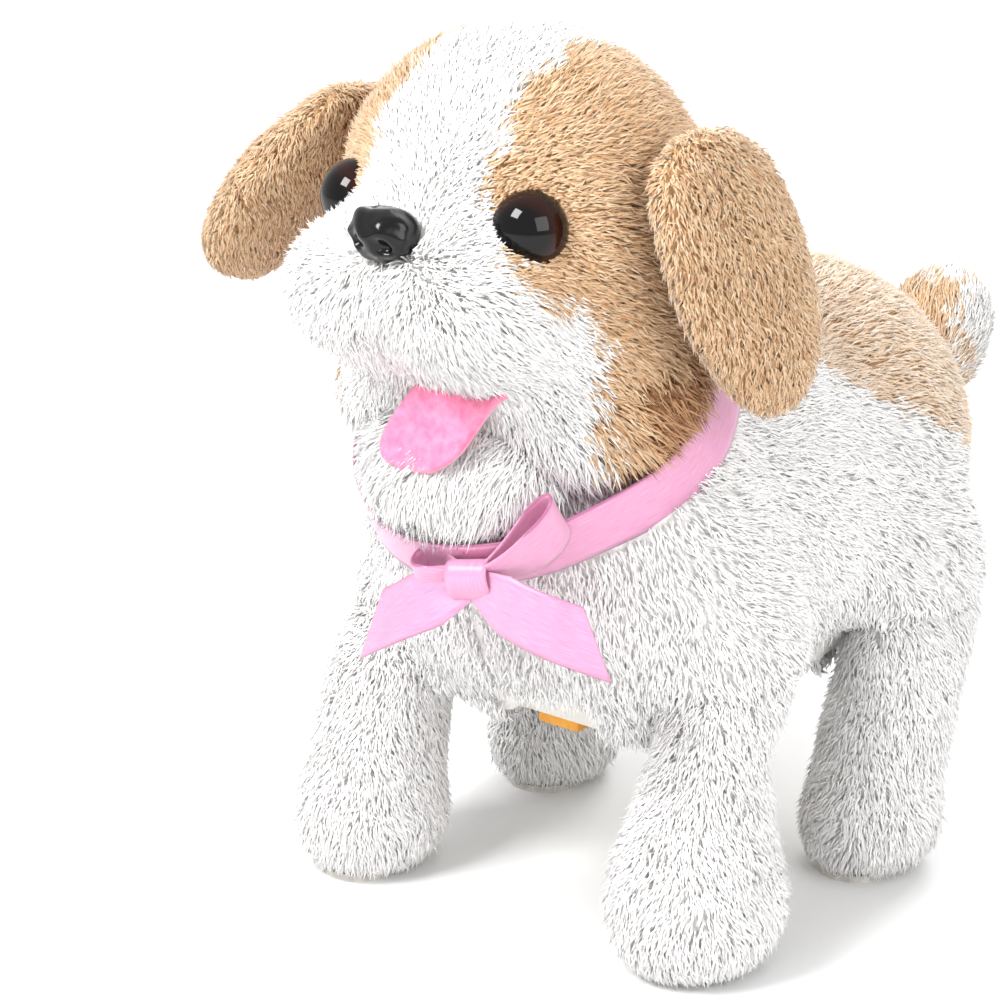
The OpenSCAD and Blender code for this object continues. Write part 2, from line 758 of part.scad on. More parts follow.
// Plastic skull: a shell with two inner cheek plates that carry the neck and jaw pins
module head_frame() {
    color(abs_white) difference() {
        union() {
            difference() {
                translate([0, -54, 144]) sphere(r = 20, $fn = 48);
                translate([0, -54, 144]) sphere(r = 18.2, $fn = 48);
                span([-20, -90, 110], [20, -20, 133]);
            }
            for (side = [-1, 1])
                span([side*10.25 - 1.25, -64, 111], [side*10.25 + 1.25, -42, 134.5]);
            span([-11.5, -64, 134], [11.5, -42, 136]);
        }
        bar_x(-14, 14, neck_y, neck_z, neck_r, rod_fn);
        bar_x(-14, 14, jaw_y, jaw_z, jaw_r, rod_fn);
    }
}

module neck_pin() {
    color(steel) bar_x(-12, 12, neck_y, neck_z, neck_r, rod_fn);
}

module jaw_pin() {
    color(steel) bar_x(-12, 12, jaw_y, jaw_z, jaw_r, rod_fn);
}

// Safety eye: a dome on a ribbed shank
module eye(side) {
    at_eye(side) {
        intersection() {
            sphere(r = eye_r, $fn = 40);
            translate([0, 0, 0.2]) cylinder(r = eye_r + 1, h = eye_r + 1, $fn = 40);
        }
        translate([0, 0, -8]) cylinder(r = 1.75, h = 9, $fn = rod_fn);
    }
}

module eye_left() {
    color("#140c0a") eye(1);
}

module eye_right() {
    color("#140c0a") eye(-1);
}

// Two washers pressed onto the shanks behind the plush
module eye_washers() {
    color(abs_white) for (side = [-1, 1])
        at_eye(side) translate([0, 0, -5.6]) difference() {
            cylinder(r = 6, h = 1.4, $fn = rod_fn);
            translate([0, 0, -1]) cylinder(r = 1.75, h = 4, $fn = rod_fn);
        }
}

// Moulded nose on a shank: a low dome, wider than it is high
module nose() {
    color("#0d0d0e") translate(nose_place) {
        intersection() {
            hull() for (x = [-2.4, 2.4])
                translate([x, 0.5, 0.4]) sphere(r = 5.4, $fn = 28);
            span([-10, -10, -8], [10, -0.2, 8]);
        }
        translate([0, 6, 0]) rotate([90, 0, 0]) cylinder(r = 1.75, h = 7, $fn = rod_fn);
    }
}

// Jaw plate that turns on the jaw pin between the cheek plates
module jaw_frame() {
    color(abs_white) difference() {
        union() {
            bar_x(-8.6, 8.6, jaw_y, jaw_z, 3.2);
            span([-8.6, jaw_y - 3, 104], [8.6, jaw_y, jaw_z]);
            span([-8.6, -80, 103], [8.6, jaw_y, 105]);
        }
        bar_x(-10, 10, jaw_y, jaw_z, jaw_r + run, rod_fn);
        span([-6.6, neck_y - 30, jaw_z - 6], [6.6, neck_y - 13, jaw_z + 4]);
    }
}

// Chin pad below the mouth, kept above the ribbon
module jaw_cover() {
    color(white_plush) difference() {
        chin_shape(0, 24);
        neck_slab(split_high, -1);
        for (a = [0, jaw_close/2, jaw_close])
            turn_x(a, jaw_y, jaw_z) head_shape(gap, 20);
        span([-8.6 - room, -80 - room, 103 - room], [8.6 + room, jaw_y + 4, 118]);
        span([-13, -66, 80], [13, -20, 140]);
    }
}

// Tongue: lies over the jaw and hangs over the chin with a round end
module tongue_shape(grow = 0) {
    t = 1.6 + 2*grow;
    w = 19 + 2*grow;
    l = 19 + grow;
    translate([0, -81.5, 115]) rotate([-62, 0, 0]) translate([0, 0, -t/2]) linear_extrude(t) union() {
        translate([-w/2, -l + w/4]) square([w, l - w/4]);
        for (side = [-1, 1])
            translate([side*w/4, -l + w/4]) circle(r = w/4, $fn = round_fn);
        translate([-w/4, -l]) square([w/2, w/4]);
    }
    translate([-w/2, -82, 115 - t/2]) cube([w, 14, t]);
}

module tongue() {
    color("#f07fa8") tongue_shape();
}

module ear_left() {
    color(tan_plush) soft_chain(ear_left_stations, 4, soft_fn);
}

module ear_right() {
    color(tan_plush) soft_chain(ear_right_stations, 4, soft_fn);
}

// ---------- ribbon ----------

module on_ring() {
    translate(ring_c) rotate([ring_lean, 0, 0]) children();
}

module ribbon_collar() {
    color(satin) on_ring() translate([0, 0, -ribbon_w/2]) difference() {
        cylinder(r = ring_r + ring_t, h = ribbon_w, $fn = 96);
        translate([0, 0, -1]) cylinder(r = ring_r, h = ribbon_w + 2, $fn = 96);
    }
}

// The children moved to where the bow is tied, on the outside of the ring
module at_bow() {
    on_ring() rotate([0, 0, bow_turn]) translate([0, -ring_r - ring_t - knot_r - 0.2, 0]) children();
}

module ribbon_knot() {
    color(satin) at_bow() hull()
        for (x = [-2, 2])
            for (z = [-3, 3])
                translate([x, 0, z]) sphere(r = knot_r, $fn = 16);
}

// Two flat loops and two tails with slanting ends, beside and under the knot
module ribbon_bow() {
    loop_l = 19;
    tail_l = 27;
    slant = 6;
    color(satin) at_bow() difference() {
        union() {
            for (side = [-1, 1])
                translate([side*5, 0, 0]) rotate([90, 0, side*14]) translate([0, 0, -1.5]) linear_extrude(3)
                    polygon([[0, -2.5], [side*17, -ribbon_w/2], [side*loop_l, 0],
                             [side*17, ribbon_w/2], [0, 2.5]]);
            for (side = [-1, 1])
                translate([side*1.5, -1.5 + 0.5*side, -6]) rotate([-30, side*42, 0])
                    translate([-ribbon_w/2, -0.4, -tail_l]) rotate([90, 0, 0]) mirror([0, 0, 1])
                        linear_extrude(ring_t)
                            polygon([[0, side > 0 ? 0 : slant], [ribbon_w, side > 0 ? slant : 0],
                                     [ribbon_w, tail_l], [0, tail_l]]);
        }
        cube([9.6, 8, 11.6], center = true);
    }
}

// ---------- assembly ----------

chassis_left();
chassis_right();
chassis_screws();
battery_door();
battery_door_screw();
aa_cells();
contact_springs();
contact_strip();
motor();
gearbox_plate();
gear_axles();
switch_body();
switch_knob();
sound_board();
speaker();
neck_post();
tail_bracket();
tail_pin();
leg_pivot_screws();
motor_pinion();
gear_first();
gear_second();
final_gear();
crank_axle();
crank_disc_left();
crank_disc_right();
link_rod_left();
link_rod_right();
leg_lever_front_left();
leg_lever_front_right();
leg_lever_hind_left();
leg_lever_hind_right();
leg_cover_front_left();
leg_cover_front_right();
leg_cover_hind_left();
leg_cover_hind_right();
sole_front_left();
sole_front_right();
sole_hind_left();
sole_hind_right();
body_cover();
head_frame();
neck_pin();
jaw_pin();
head_cover();
eye_left();
eye_right();
eye_washers();
nose();
jaw_frame();
jaw_cover();
tongue();
ear_left();
ear_right();
tail_lever();
tail_cover();
ribbon_collar();
ribbon_knot();
ribbon_bow();
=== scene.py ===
"""Walking plush puppy: the plush skin, its pile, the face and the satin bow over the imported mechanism."""

import json

import bpy
import numpy as np
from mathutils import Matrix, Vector


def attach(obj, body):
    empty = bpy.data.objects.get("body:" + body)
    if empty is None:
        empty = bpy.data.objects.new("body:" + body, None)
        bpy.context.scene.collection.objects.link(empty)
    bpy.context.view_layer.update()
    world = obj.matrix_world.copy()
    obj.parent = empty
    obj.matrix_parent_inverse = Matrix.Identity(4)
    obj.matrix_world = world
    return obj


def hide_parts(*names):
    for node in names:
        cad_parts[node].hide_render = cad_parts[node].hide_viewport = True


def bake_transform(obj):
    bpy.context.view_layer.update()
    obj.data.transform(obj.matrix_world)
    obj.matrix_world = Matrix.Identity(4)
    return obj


bl_info = {
    "name": "Walking Plush Puppy",
    "version": (1, 0, 0),
    "blender": (4, 5, 0),
    "location": "View3D > Sidebar > Puppy",
    "description": "Builds the plush skin, pile, face and bow of a walking puppy over its mechanism",
    "category": "Object",
}

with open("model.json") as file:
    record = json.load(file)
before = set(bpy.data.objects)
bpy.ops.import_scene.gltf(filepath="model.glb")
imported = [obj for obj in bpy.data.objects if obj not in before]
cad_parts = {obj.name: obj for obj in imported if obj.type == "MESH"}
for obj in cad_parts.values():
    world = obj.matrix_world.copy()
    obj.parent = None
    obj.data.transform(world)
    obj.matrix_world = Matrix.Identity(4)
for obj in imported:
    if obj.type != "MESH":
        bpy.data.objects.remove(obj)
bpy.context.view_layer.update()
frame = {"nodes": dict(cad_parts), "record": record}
MM = 0.001

# ---------- shapes, in millimetres: soft blobs as (centre, half sizes) ----------

RING_C = np.array([0.0, -50.0, 103.0])
RING_LEAN = np.radians(33.0)
RING_R = 37.4
BOW_TURN = np.radians(17.0)


def chain(stations, steps=4):
    """Blobs evenly spaced along a row of stations: centre and half sizes run straight to the next."""
    blobs = []
    for (c0, r0), (c1, r1) in zip(stations, stations[1:]):
        for s in np.linspace(0, 1, steps, endpoint=False):
            blobs.append((np.array(c0) * (1 - s) + np.array(c1) * s,
                          np.array(r0) * (1 - s) + np.array(r1) * s))
    blobs.append((np.array(stations[-1][0], float), np.array(stations[-1][1], float)))
    return blobs


BODY = [
    ((0, -40, 72), (48, 33, 34)),
    ((0, -5, 79), (44, 44, 39)),
    ((0, 33, 82), (43, 36, 41)),
    ((0, -44, 90), (44, 36, 28)),
]
CHASSIS = ((0, -3, 66), (29.8, 49.8, 27.8), 5.5)
HEAD = [
    ((0, -55, 142.5), (42, 34, 41)),
    ((0, -57, 125), (39, 26, 22)),
    ((0, -50, 113), (39, 29, 18)),
    ((21, -57, 111), (18, 23, 15)),
    ((-21, -57, 111), (18, 23, 15)),
    ((13, -82, 135), (20, 21, 15.5)),
    ((-13, -82, 135), (20, 21, 15.5)),
]
CHIN = [((0, -67, 97), (26, 21, 17))]
LEGS = {
    "front_left": [
        ((43, -37, 60), (9, 15, 15)), ((39.5, -46, 42), (11.5, 12.5, 12)),
        ((40.5, -51, 17), (18.5, 19, 17)), ((40.5, -51, 9), (18, 21, 13)),
    ],
    "front_right": [
        ((-43, -37, 60), (9, 15, 15)), ((-39.8, -51, 40), (15, 14.5, 13)),
        ((-40.5, -56, 15), (16, 17, 16)), ((-40.5, -56, 9), (15.5, 19, 13)),
    ],
    "hind_left": [
        ((42, 26, 58), (10, 23, 22)), ((41, 16, 34), (14, 16, 16)),
        ((40.5, 10.5, 14), (14.5, 16, 14)), ((40.5, 10.5, 9), (14.5, 18.5, 13)),
    ],
    "hind_right": [
        ((-42, 23, 58), (10, 21, 21)), ((-41, 12, 34), (14, 15, 16)),
        ((-40.5, 5, 14), (14.5, 16, 14)), ((-40.5, 5, 9), (14.5, 18.5, 13)),
    ],
}
HIP_Y = {"front": -37.0, "hind": 23.0}
# Height above which a leg's plush belongs to the trunk
LEG_CUT = 50.0
# Middle of the left eye's seat and of the nose
EYE = (21.0, -79.0, 149.6)
NOSE = np.array([0, -94, 149.0])
EAR_LEFT = [((43, -58, 161), (4, 13, 7)), ((48, -52, 141), (4.5, 15, 12)), ((51, -43, 121), (4.5, 9.5, 9))]
EAR_RIGHT = [((-45, -54, 160), (4, 14, 6)), ((-61, -54, 145), (6, 15, 9)), ((-74, -55, 129), (6, 13, 9))]
TAIL = [((3, 70, 86), (7.5, 7, 8)), ((7, 79, 92), (10, 10, 10.5)), ((9, 82, 101), (9.5, 9.5, 9))]


def blend_field(points, blobs, soft):
    """Signed distance, roughly, to a soft union: each blob gives (|q| - 1) times its mean half size, where q
    is the point in the blob's own units, and the union is -soft * log(sum(exp(-d / soft)))."""
    total = np.zeros(points.shape[:-1])
    for centre, half in blobs:
        half = np.asarray(half, float)
        q = (points - np.asarray(centre, float)) / half
        d = (np.sqrt((q * q).sum(-1)) - 1) * half.min()
        total += np.exp(np.clip(-d / soft, -60, 60))
    return -soft * np.log(total + 1e-30)


def neck_plane(points, offset):
    """Distance above the leaning plane of the ribbon, moved up along its normal by offset."""
    normal = np.array([0.0, -np.sin(RING_LEAN), np.cos(RING_LEAN)])
    return (points - RING_C) @ normal - offset


def ring_radius(points):
    """Distance from the leaning axis of the ribbon's ring."""
    axis = np.array([0.0, -np.sin(RING_LEAN), np.cos(RING_LEAN)])
    away = points - RING_C
    return np.linalg.norm(away - (away @ axis)[..., None] * axis, axis=-1)


def waves(points, size, seed, count=9):
    """Smooth vector noise in about -1..1: for x, y and z a sum of sine waves with random directions, phases
    and wavelengths near size, in millimetres."""
    rng = np.random.default_rng(seed)
    out = np.empty(points.shape)
    for axis in range(3):
        k = rng.normal(size=(count, 3))
        k *= (2 * np.pi / size * rng.uniform(0.6, 1.5, count) / np.linalg.norm(k, axis=1))[:, None]
        phase = rng.uniform(0, 2 * np.pi, count)
        out[..., axis] = np.sin(points @ k.T + phase).sum(-1) / np.sqrt(count * 1.2)
    return out


def unit(v):
    return v / np.maximum(np.linalg.norm(v, axis=-1, keepdims=True), 1e-9)


def box_field(p, centre, half, radius):
    """Signed distance to a box with rounded edges."""
    q = np.abs(p - np.array(centre, float)) - np.array(half, float) + radius
    return np.linalg.norm(np.maximum(q, 0), axis=-1) + np.minimum(q.max(-1), 0) - radius


def fleece(p, chassis=False):
    """The outer cloth of trunk and legs: the trunk, each leg and, if wanted, a rounded box of cloth round
    the chassis are unions of their own, joined with fillets of a few millimetres."""
    parts = [blend_field(p, BODY, 3.0)] + ([box_field(p, *CHASSIS)] if chassis else [])
    parts += [blend_field(p, chain(stations, 3), 0.8) for stations in LEGS.values()]
    return -4.0 * np.log(sum(np.exp(np.clip(-part / 4.0, -60, 60)) for part in parts) + 1e-30)


def leg_tube(p, name, grow):
    """Signed distance, roughly, to an upright oval tube that follows a leg's stations."""
    stations = LEGS[name]
    heights = [c[2] for c, _ in stations][::-1]
    x = np.interp(p[..., 2], heights, [c[0] for c, _ in stations][::-1])
    y = np.interp(p[..., 2], heights, [c[1] for c, _ in stations][::-1])
    half_x = np.interp(p[..., 2], heights, [r[0] for _, r in stations][::-1]) + grow
    half_y = np.interp(p[..., 2], heights, [r[1] for _, r in stations][::-1]) + grow
    return (np.sqrt(((p[..., 0] - x) / half_x) ** 2 + ((p[..., 1] - y) / half_y) ** 2) - 1) * half_x


def body_field(p):
    """The fleece without its legs below LEG_CUT, without the neck above the ribbon, and with a square
    opening where the chassis shows under the belly, with a notch in front for the switch knob."""
    box = np.max(np.abs(p - np.array([0, -3, 24.0])) - np.array([22.6, 42.6, 21.0]), axis=-1)
    notch = np.max(np.abs(p - np.array([5, -52, 24.0])) - np.array([7.0, 9.0, 20.0]), axis=-1)
    whole = np.maximum(np.maximum(fleece(p, True), neck_plane(p, 9.0)), -np.minimum(box, notch))
    for name in LEGS:
        wall = np.minimum(32.0 - np.abs(p[..., 0]), p[..., 2] - 38.0)
        near = np.maximum(leg_tube(p, name, 5.0), wall)
        whole = np.maximum(whole, -np.maximum(p[..., 2] - LEG_CUT, near))
    return whole


def head_field(p):
    return np.maximum(blend_field(p, HEAD, 2.5), -neck_plane(p, 5.2))


def chin_field(p):
    return np.maximum(blend_field(p, CHIN, 3.0), -neck_plane(p, 5.2))


def leg_field(name):
    """The fleece inside a leg's tube, from the flat paw to a little above LEG_CUT."""
    side = 1 if name.endswith("left") else -1

    def field(p):
        tuck = 0.4 * np.clip(p[..., 2] - LEG_CUT - 2, 0, 9)
        whole = np.maximum(np.maximum(fleece(p) + tuck, -0.9 - p[..., 2]), p[..., 2] - LEG_CUT - 11)
        inner = 27.0 - side * p[..., 0] - 2 * np.clip(46 - p[..., 2], 0, None)
        return np.maximum(np.maximum(whole, leg_tube(p, name, 8.0)), inner)
    return field


def chain_field(stations, soft=2.0):
    blobs = chain(stations, 4)
    return lambda p: blend_field(p, blobs, soft)


def star_skin(name, field, centre, inset, around=110, rows=72, reach=100.0):
    """Closed skin as a function of two angles: on each ray from the centre, the outermost place where the
    field, moved inwards by inset, changes sign. One point closes each pole."""
    theta = np.linspace(0, 2 * np.pi, around, endpoint=False)
    phi = np.linspace(0, np.pi, rows + 1)[1:-1]
    ring = np.stack(np.broadcast_arrays(
        np.sin(phi)[:, None] * np.cos(theta), np.sin(phi)[:, None] * np.sin(theta),
        np.cos(phi)[:, None] * np.ones(around)), -1).reshape(-1, 3)
    rays = np.concatenate([ring, [[0, 0, 1.0], [0, 0, -1.0]]])
    steps = np.linspace(0, reach, 121)
    values = np.empty((len(rays), len(steps)))
    for i, t in enumerate(steps):
        values[:, i] = field(np.asarray(centre, float) + rays * t) + inset
    inside = values < 0
    last = inside.shape[1] - 1 - np.argmax(inside[:, ::-1], axis=1)
    last = np.clip(last, 0, len(steps) - 2)
    row = np.arange(len(rays))
    v0, v1 = values[row, last], values[row, last + 1]
    share = np.clip(v0 / np.where(np.abs(v0 - v1) < 1e-9, 1e-9, v0 - v1), 0, 1)
    radius = np.where(inside.any(1), steps[last] + share * (steps[1] - steps[0]), 0.1)
    points = np.asarray(centre, float) + rays * radius[:, None]
    return add_mesh(name, points, round_faces(len(phi), around))


def round_faces(rows, around):
    """Faces of a closed round grid: quads between neighbouring rows, and a fan of triangles to one point at
    each end. The two end points follow the grid's own."""
    i, j = np.meshgrid(np.arange(rows - 1), np.arange(around), indexing="ij")
    k = (j + 1) % around
    quads = np.stack([i * around + j, (i + 1) * around + j, (i + 1) * around + k, i * around + k], -1)
    j = np.arange(around)
    k = (j + 1) % around
    first, low = rows * around, (rows - 1) * around
    caps = np.concatenate([np.stack([np.full(around, first), j, k], -1),
                           np.stack([np.full(around, first + 1), low + k, low + j], -1)])
    return [quads.reshape(-1, 4), caps]


def add_mesh(name, points, faces, smooth=True, slots=None):
    """A new mesh object in the scene from points in millimetres and a list of index arrays, one per kind of
    polygon. slots, if given, is one material index for each face."""
    mesh = bpy.data.meshes.new(name)
    mesh.vertices.add(len(points))
    mesh.vertices.foreach_set("co", (np.asarray(points) * MM).astype(np.float32).ravel())
    sizes = np.concatenate([np.full(len(f), f.shape[1]) for f in faces])
    mesh.loops.add(int(sizes.sum()))
    mesh.loops.foreach_set("vertex_index", np.concatenate([f.ravel() for f in faces]).astype(np.int32))
    mesh.polygons.add(len(sizes))
    mesh.polygons.foreach_set("loop_start", np.concatenate([[0], np.cumsum(sizes)[:-1]]).astype(np.int32))
    if slots is not None:
        mesh.polygons.foreach_set("material_index", np.asarray(slots, np.int32))
    mesh.polygons.foreach_set("use_smooth", np.full(len(sizes), smooth))
    mesh.update(calc_edges=True)
    mesh.validate()
    piece = bpy.data.objects.new(name, mesh)
    bpy.context.scene.collection.objects.link(piece)
    return piece


def mesh_arrays(piece):
    """Points and normals in millimetres and the triangles of a piece's mesh."""
    mesh = piece.data
    mesh.calc_loop_triangles()
    points = np.empty(len(mesh.vertices) * 3, np.float32)
    normals = np.empty(len(mesh.vertices) * 3, np.float32)
    tris = np.empty(len(mesh.loop_triangles) * 3, np.int32)
    mesh.vertices.foreach_get("co", points)
    mesh.vertices.foreach_get("normal", normals)
    mesh.loop_triangles.foreach_get("vertices", tris)
    return points.reshape(-1, 3) / MM, normals.reshape(-1, 3), tris.reshape(-1, 3)


def set_points(piece, points):
    piece.data.vertices.foreach_set("co", (points * MM).astype(np.float32).ravel())
    piece.data.update()


def stuff(piece, voxel, pressure, cap):
    """Swells a skin as stuffing does: remeshes it, runs cloth with inner pressure for 20 frames, and keeps no
    point further than cap millimetres from where it started."""
    scene = bpy.context.scene
    bpy.context.view_layer.objects.active = piece
    remesh = piece.modifiers.new("voxels", "REMESH")
    remesh.mode = "VOXEL"
    remesh.voxel_size = voxel * MM
    bpy.ops.object.modifier_apply(modifier=remesh.name)
    start = mesh_arrays(piece)[0]
    cloth = piece.modifiers.new("cloth", "CLOTH")
    cloth.settings.use_pressure = True
    cloth.settings.uniform_pressure_force = pressure
    cloth.settings.quality = 5
    cloth.settings.effector_weights.gravity = 0
    cloth.settings.tension_stiffness = 8
    cloth.settings.bending_stiffness = 0.4
    for number in range(1, 21):
        scene.frame_set(number)
    bpy.ops.object.modifier_apply(modifier=cloth.name)
    scene.frame_set(1)
    end = mesh_arrays(piece)[0]
    move = end - start
    far = np.linalg.norm(move, axis=1, keepdims=True)
    move *= np.minimum(1, cap / np.maximum(far, 1e-9))
    set_points(piece, np.nan_to_num(start + move, nan=0.0))
    finer = piece.modifiers.new("finer", "SUBSURF")
    finer.levels = finer.render_levels = 1
    bpy.ops.object.modifier_apply(modifier=finer.name)
    piece.data.polygons.foreach_set("use_smooth", np.full(len(piece.data.polygons), True))
    piece.data.update()


# ---------- materials ----------


def linear(hex_colour, alpha=1.0):
    """An sRGB hex colour as linear red, green, blue and alpha."""
    c = np.array([int(hex_colour[i:i + 2], 16) for i in (1, 3, 5)]) / 255
    c = np.where(c <= 0.04045, c / 12.92, ((c + 0.055) / 1.055) ** 2.4)
    return (*map(float, c), alpha)


def add_node(tree, kind, links=None, ramp=None, **settings):
    """Adds a node, sets its properties or input values by name, and links inputs to the given outputs."""
    node = tree.nodes.new(kind)
    for key, value in settings.items():
        if hasattr(node, key):
            setattr(node, key, value)
        else:
            node.inputs[key.replace("_", " ")].default_value = value
    if ramp:
        stops = node.color_ramp.elements
        while len(stops) < len(ramp):
            stops.new(0.5)
        for stop, (place, colour) in zip(stops, ramp):
            stop.position = place
            stop.color = linear(colour) if isinstance(colour, str) else (colour,) * 3 + (1,)
    for key, output in (links or {}).items():
        socket = node.inputs[key] if isinstance(key, int) else node.inputs[key.replace("_", " ")]
        tree.links.new(output, socket)
    return node


def new_material(name):
    material = bpy.data.materials.new(name)
    material.use_nodes = True
    tree = material.node_tree
    return material, tree, tree.nodes["Principled BSDF"]


def set_shader(shader, **values):
    for key, value in values.items():
        shader.inputs[key.replace("_", " ")].default_value = value


def spotted(name, low, high, size_mm, roughness, bump=0.1, bump_mm=0.4, **values):
    """A finish whose colour drifts between two hex colours over size_mm, with grain of bump_mm in relief."""
    material, tree, shader = new_material(name)
    place = add_node(tree, "ShaderNodeTexCoord").outputs["Object"]
    drift = add_node(tree, "ShaderNodeTexNoise", {"Vector": place}, Scale=1000 / size_mm, Detail=3.0)
    ramp = add_node(tree, "ShaderNodeValToRGB", {0: drift.outputs[0]}, ramp=[(0.3, low), (0.7, high)])
    grain = add_node(tree, "ShaderNodeTexNoise", {"Vector": place}, Scale=1000 / bump_mm, Detail=2.0)
    relief = add_node(tree, "ShaderNodeBump", {"Height": grain.outputs[0]}, Strength=bump, Distance=0.0003)
    tree.links.new(ramp.outputs[0], shader.inputs["Base Color"])
    tree.links.new(relief.outputs[0], shader.inputs["Normal"])
    set_shader(shader, Roughness=roughness, **values)
    return material


def strand_material(name, colour):
    """Polyester pile: one fibre tone, dull, with a soft sheen; the tones are mixed strand by strand. The
    tones are dyed colours, except the dark brown one, which is painted shade.
    """
    material, _, shader = new_material(name)
    set_shader(shader, Base_Color=linear(colour), Roughness=0.75, Sheen_Weight=0.25, Sheen_Roughness=0.5,
               Specular_IOR_Level=0.25)
    return material


MATERIALS = {}


def make_materials():
    """Every finish of the toy, each named for what it is made of."""
    m = MATERIALS
    # Knitted polyester backing under the pile: matt, and painted slightly darker than the pile as painted
    # shade in the gaps between strands
    m["backing_white"] = spotted("knitted_backing_white", "#ebe8e4", "#f6f4f1", 9, 0.95, 0.4, 0.8)
    m["backing_tan"] = spotted("knitted_backing_tan", "#b98d63", "#cfa67c", 9, 0.95, 0.4, 0.8)
    # Fibre tones. The dark brown tone is no dye: it is painted shade for the hollow behind each cheek.
    tones = {
        "white_0": "#fdfcfb", "white_1": "#f8f7f5", "white_2": "#f0eeed",
        "tan_0": "#e2c3a0", "tan_1": "#d7b088", "tan_2": "#c3956c",
        "pale_0": "#eedcc9", "pale_1": "#e5cbb0", "painted_shade_brown": "#8f6140",
    }
    for key, colour in tones.items():
        m[key] = strand_material("polyester_pile_" + key, colour)
    # Injection-moulded ABS: even and satin, with the faintest mould grain
    m["white_abs"] = spotted("abs_moulded_white", "#dedbd2", "#e9e6de", 14, 0.42, 0.08, 0.6)
    m["black_abs"] = spotted("abs_moulded_black", "#1f1f20", "#2a2a2b", 14, 0.5, 0.1, 0.6)
    m["yellow_knob"] = spotted("abs_moulded_yellow", "#e8961a", "#f2ae2c", 8, 0.35, 0.08, 0.6)
    # Nylon gears: waxy, cream and a little see-through at the teeth
    m["nylon_gear"] = spotted("nylon_moulded_cream", "#e6dfca", "#f0ead9", 6, 0.5, 0.08, 0.5,
                              Subsurface_Weight=0.15, Subsurface_Scale=0.001)
    # Zinc-plated steel: bright, with fine rolling marks
    m["steel"] = spotted("steel_zinc_plated", "#a9acb0", "#c4c7ca", 5, 0.28, 0.12, 0.3, Metallic=1.0)
    # Shrunk PVC sleeve: smooth and bright over the can
    m["cell_sleeve"] = spotted("cell_sleeve_pvc", "#2a5f8a", "#37729f", 12, 0.3, 0.05, 0.6)
    # Solder mask on glass laminate: green gloss over a faint weave
    m["board"] = spotted("board_solder_mask", "#23603a", "#2f7a4a", 3, 0.35, 0.15, 0.8)
    # Pressed felt: matt with a loose fibre grain
    m["sole_felt"] = spotted("felt_pressed_grey", "#bdb8b0", "#d6d2cb", 2.5, 0.95, 0.6, 0.5)
    m["tongue_felt"] = spotted("felt_pressed_pink", "#ec6f98", "#f78fb2", 2.0, 0.95, 0.5, 0.45,
                               Sheen_Weight=0.4)
    # Polished acrylic over a painted back: a clear wet shine
    m["nose_gloss"] = spotted("nose_polished_black", "#040404", "#0a0a0b", 4, 0.17, 0.25, 3.0,
                              Specular_IOR_Level=0.4)
    return m


def satin_material():
    """Woven satin ribbon: long weft floats give a band of shine across the ribbon, and the woven edge is a
    little darker. The UV map runs across (u) and along (v) the ribbon in millimetres."""
    material, tree, shader = new_material("satin_ribbon_pink")
    uv = add_node(tree, "ShaderNodeUVMap", uv_map="ribbon").outputs[0]
    parts = add_node(tree, "ShaderNodeSeparateXYZ", {"Vector": uv})
    threads = add_node(tree, "ShaderNodeTexNoise", {
        "Vector": add_node(tree, "ShaderNodeMapping", {"Vector": uv}, Scale=(9.0, 0.25, 1.0)).outputs[0]},
        Scale=1.0, Detail=2.0)
    edge = add_node(tree, "ShaderNodeMath", {0: parts.outputs[0]}, operation="ABSOLUTE")
    border = add_node(tree, "ShaderNodeMapRange", {"Value": edge.outputs[0]}, From_Min=5.6, From_Max=6.1)
    tone = add_node(tree, "ShaderNodeValToRGB", {0: threads.outputs[0]},
                    ramp=[(0.3, "#cd82a9"), (0.7, "#e0a0c2")])
    mix = add_node(tree, "ShaderNodeMix", data_type="RGBA")
    tree.links.new(border.outputs[0], mix.inputs["Factor"])
    tree.links.new(tone.outputs[0], mix.inputs[6])
    mix.inputs[7].default_value = linear("#ad6089")
    tree.links.new(mix.outputs[2], shader.inputs["Base Color"])
    relief = add_node(tree, "ShaderNodeBump", {"Height": threads.outputs[0]}, Strength=0.15, Distance=0.0002)
    tree.links.new(relief.outputs[0], shader.inputs["Normal"])
    set_shader(shader, Roughness=0.36, Anisotropic=0.6, Sheen_Weight=0.3, Specular_IOR_Level=0.7)
    return material


def eye_material():
    """Safety eye: black acrylic whose dyed rim shows a very dark red-brown, under a clear polished dome."""
    material, tree, shader = new_material("acrylic_eye_brown_black")
    rim = add_node(tree, "ShaderNodeAttribute", attribute_name="rim").outputs["Fac"]
    tone = add_node(tree, "ShaderNodeValToRGB", {0: rim},
                    ramp=[(0.0, "#020202"), (0.66, "#040202"), (0.78, "#1c0805"), (0.9, "#2a0c06"),
                          (1.0, "#080303")])
    tree.links.new(tone.outputs[0], shader.inputs["Base Color"])
    set_shader(shader, Roughness=0.05, Specular_IOR_Level=0.35, IOR=1.49)
    return material


# ---------- pile ----------


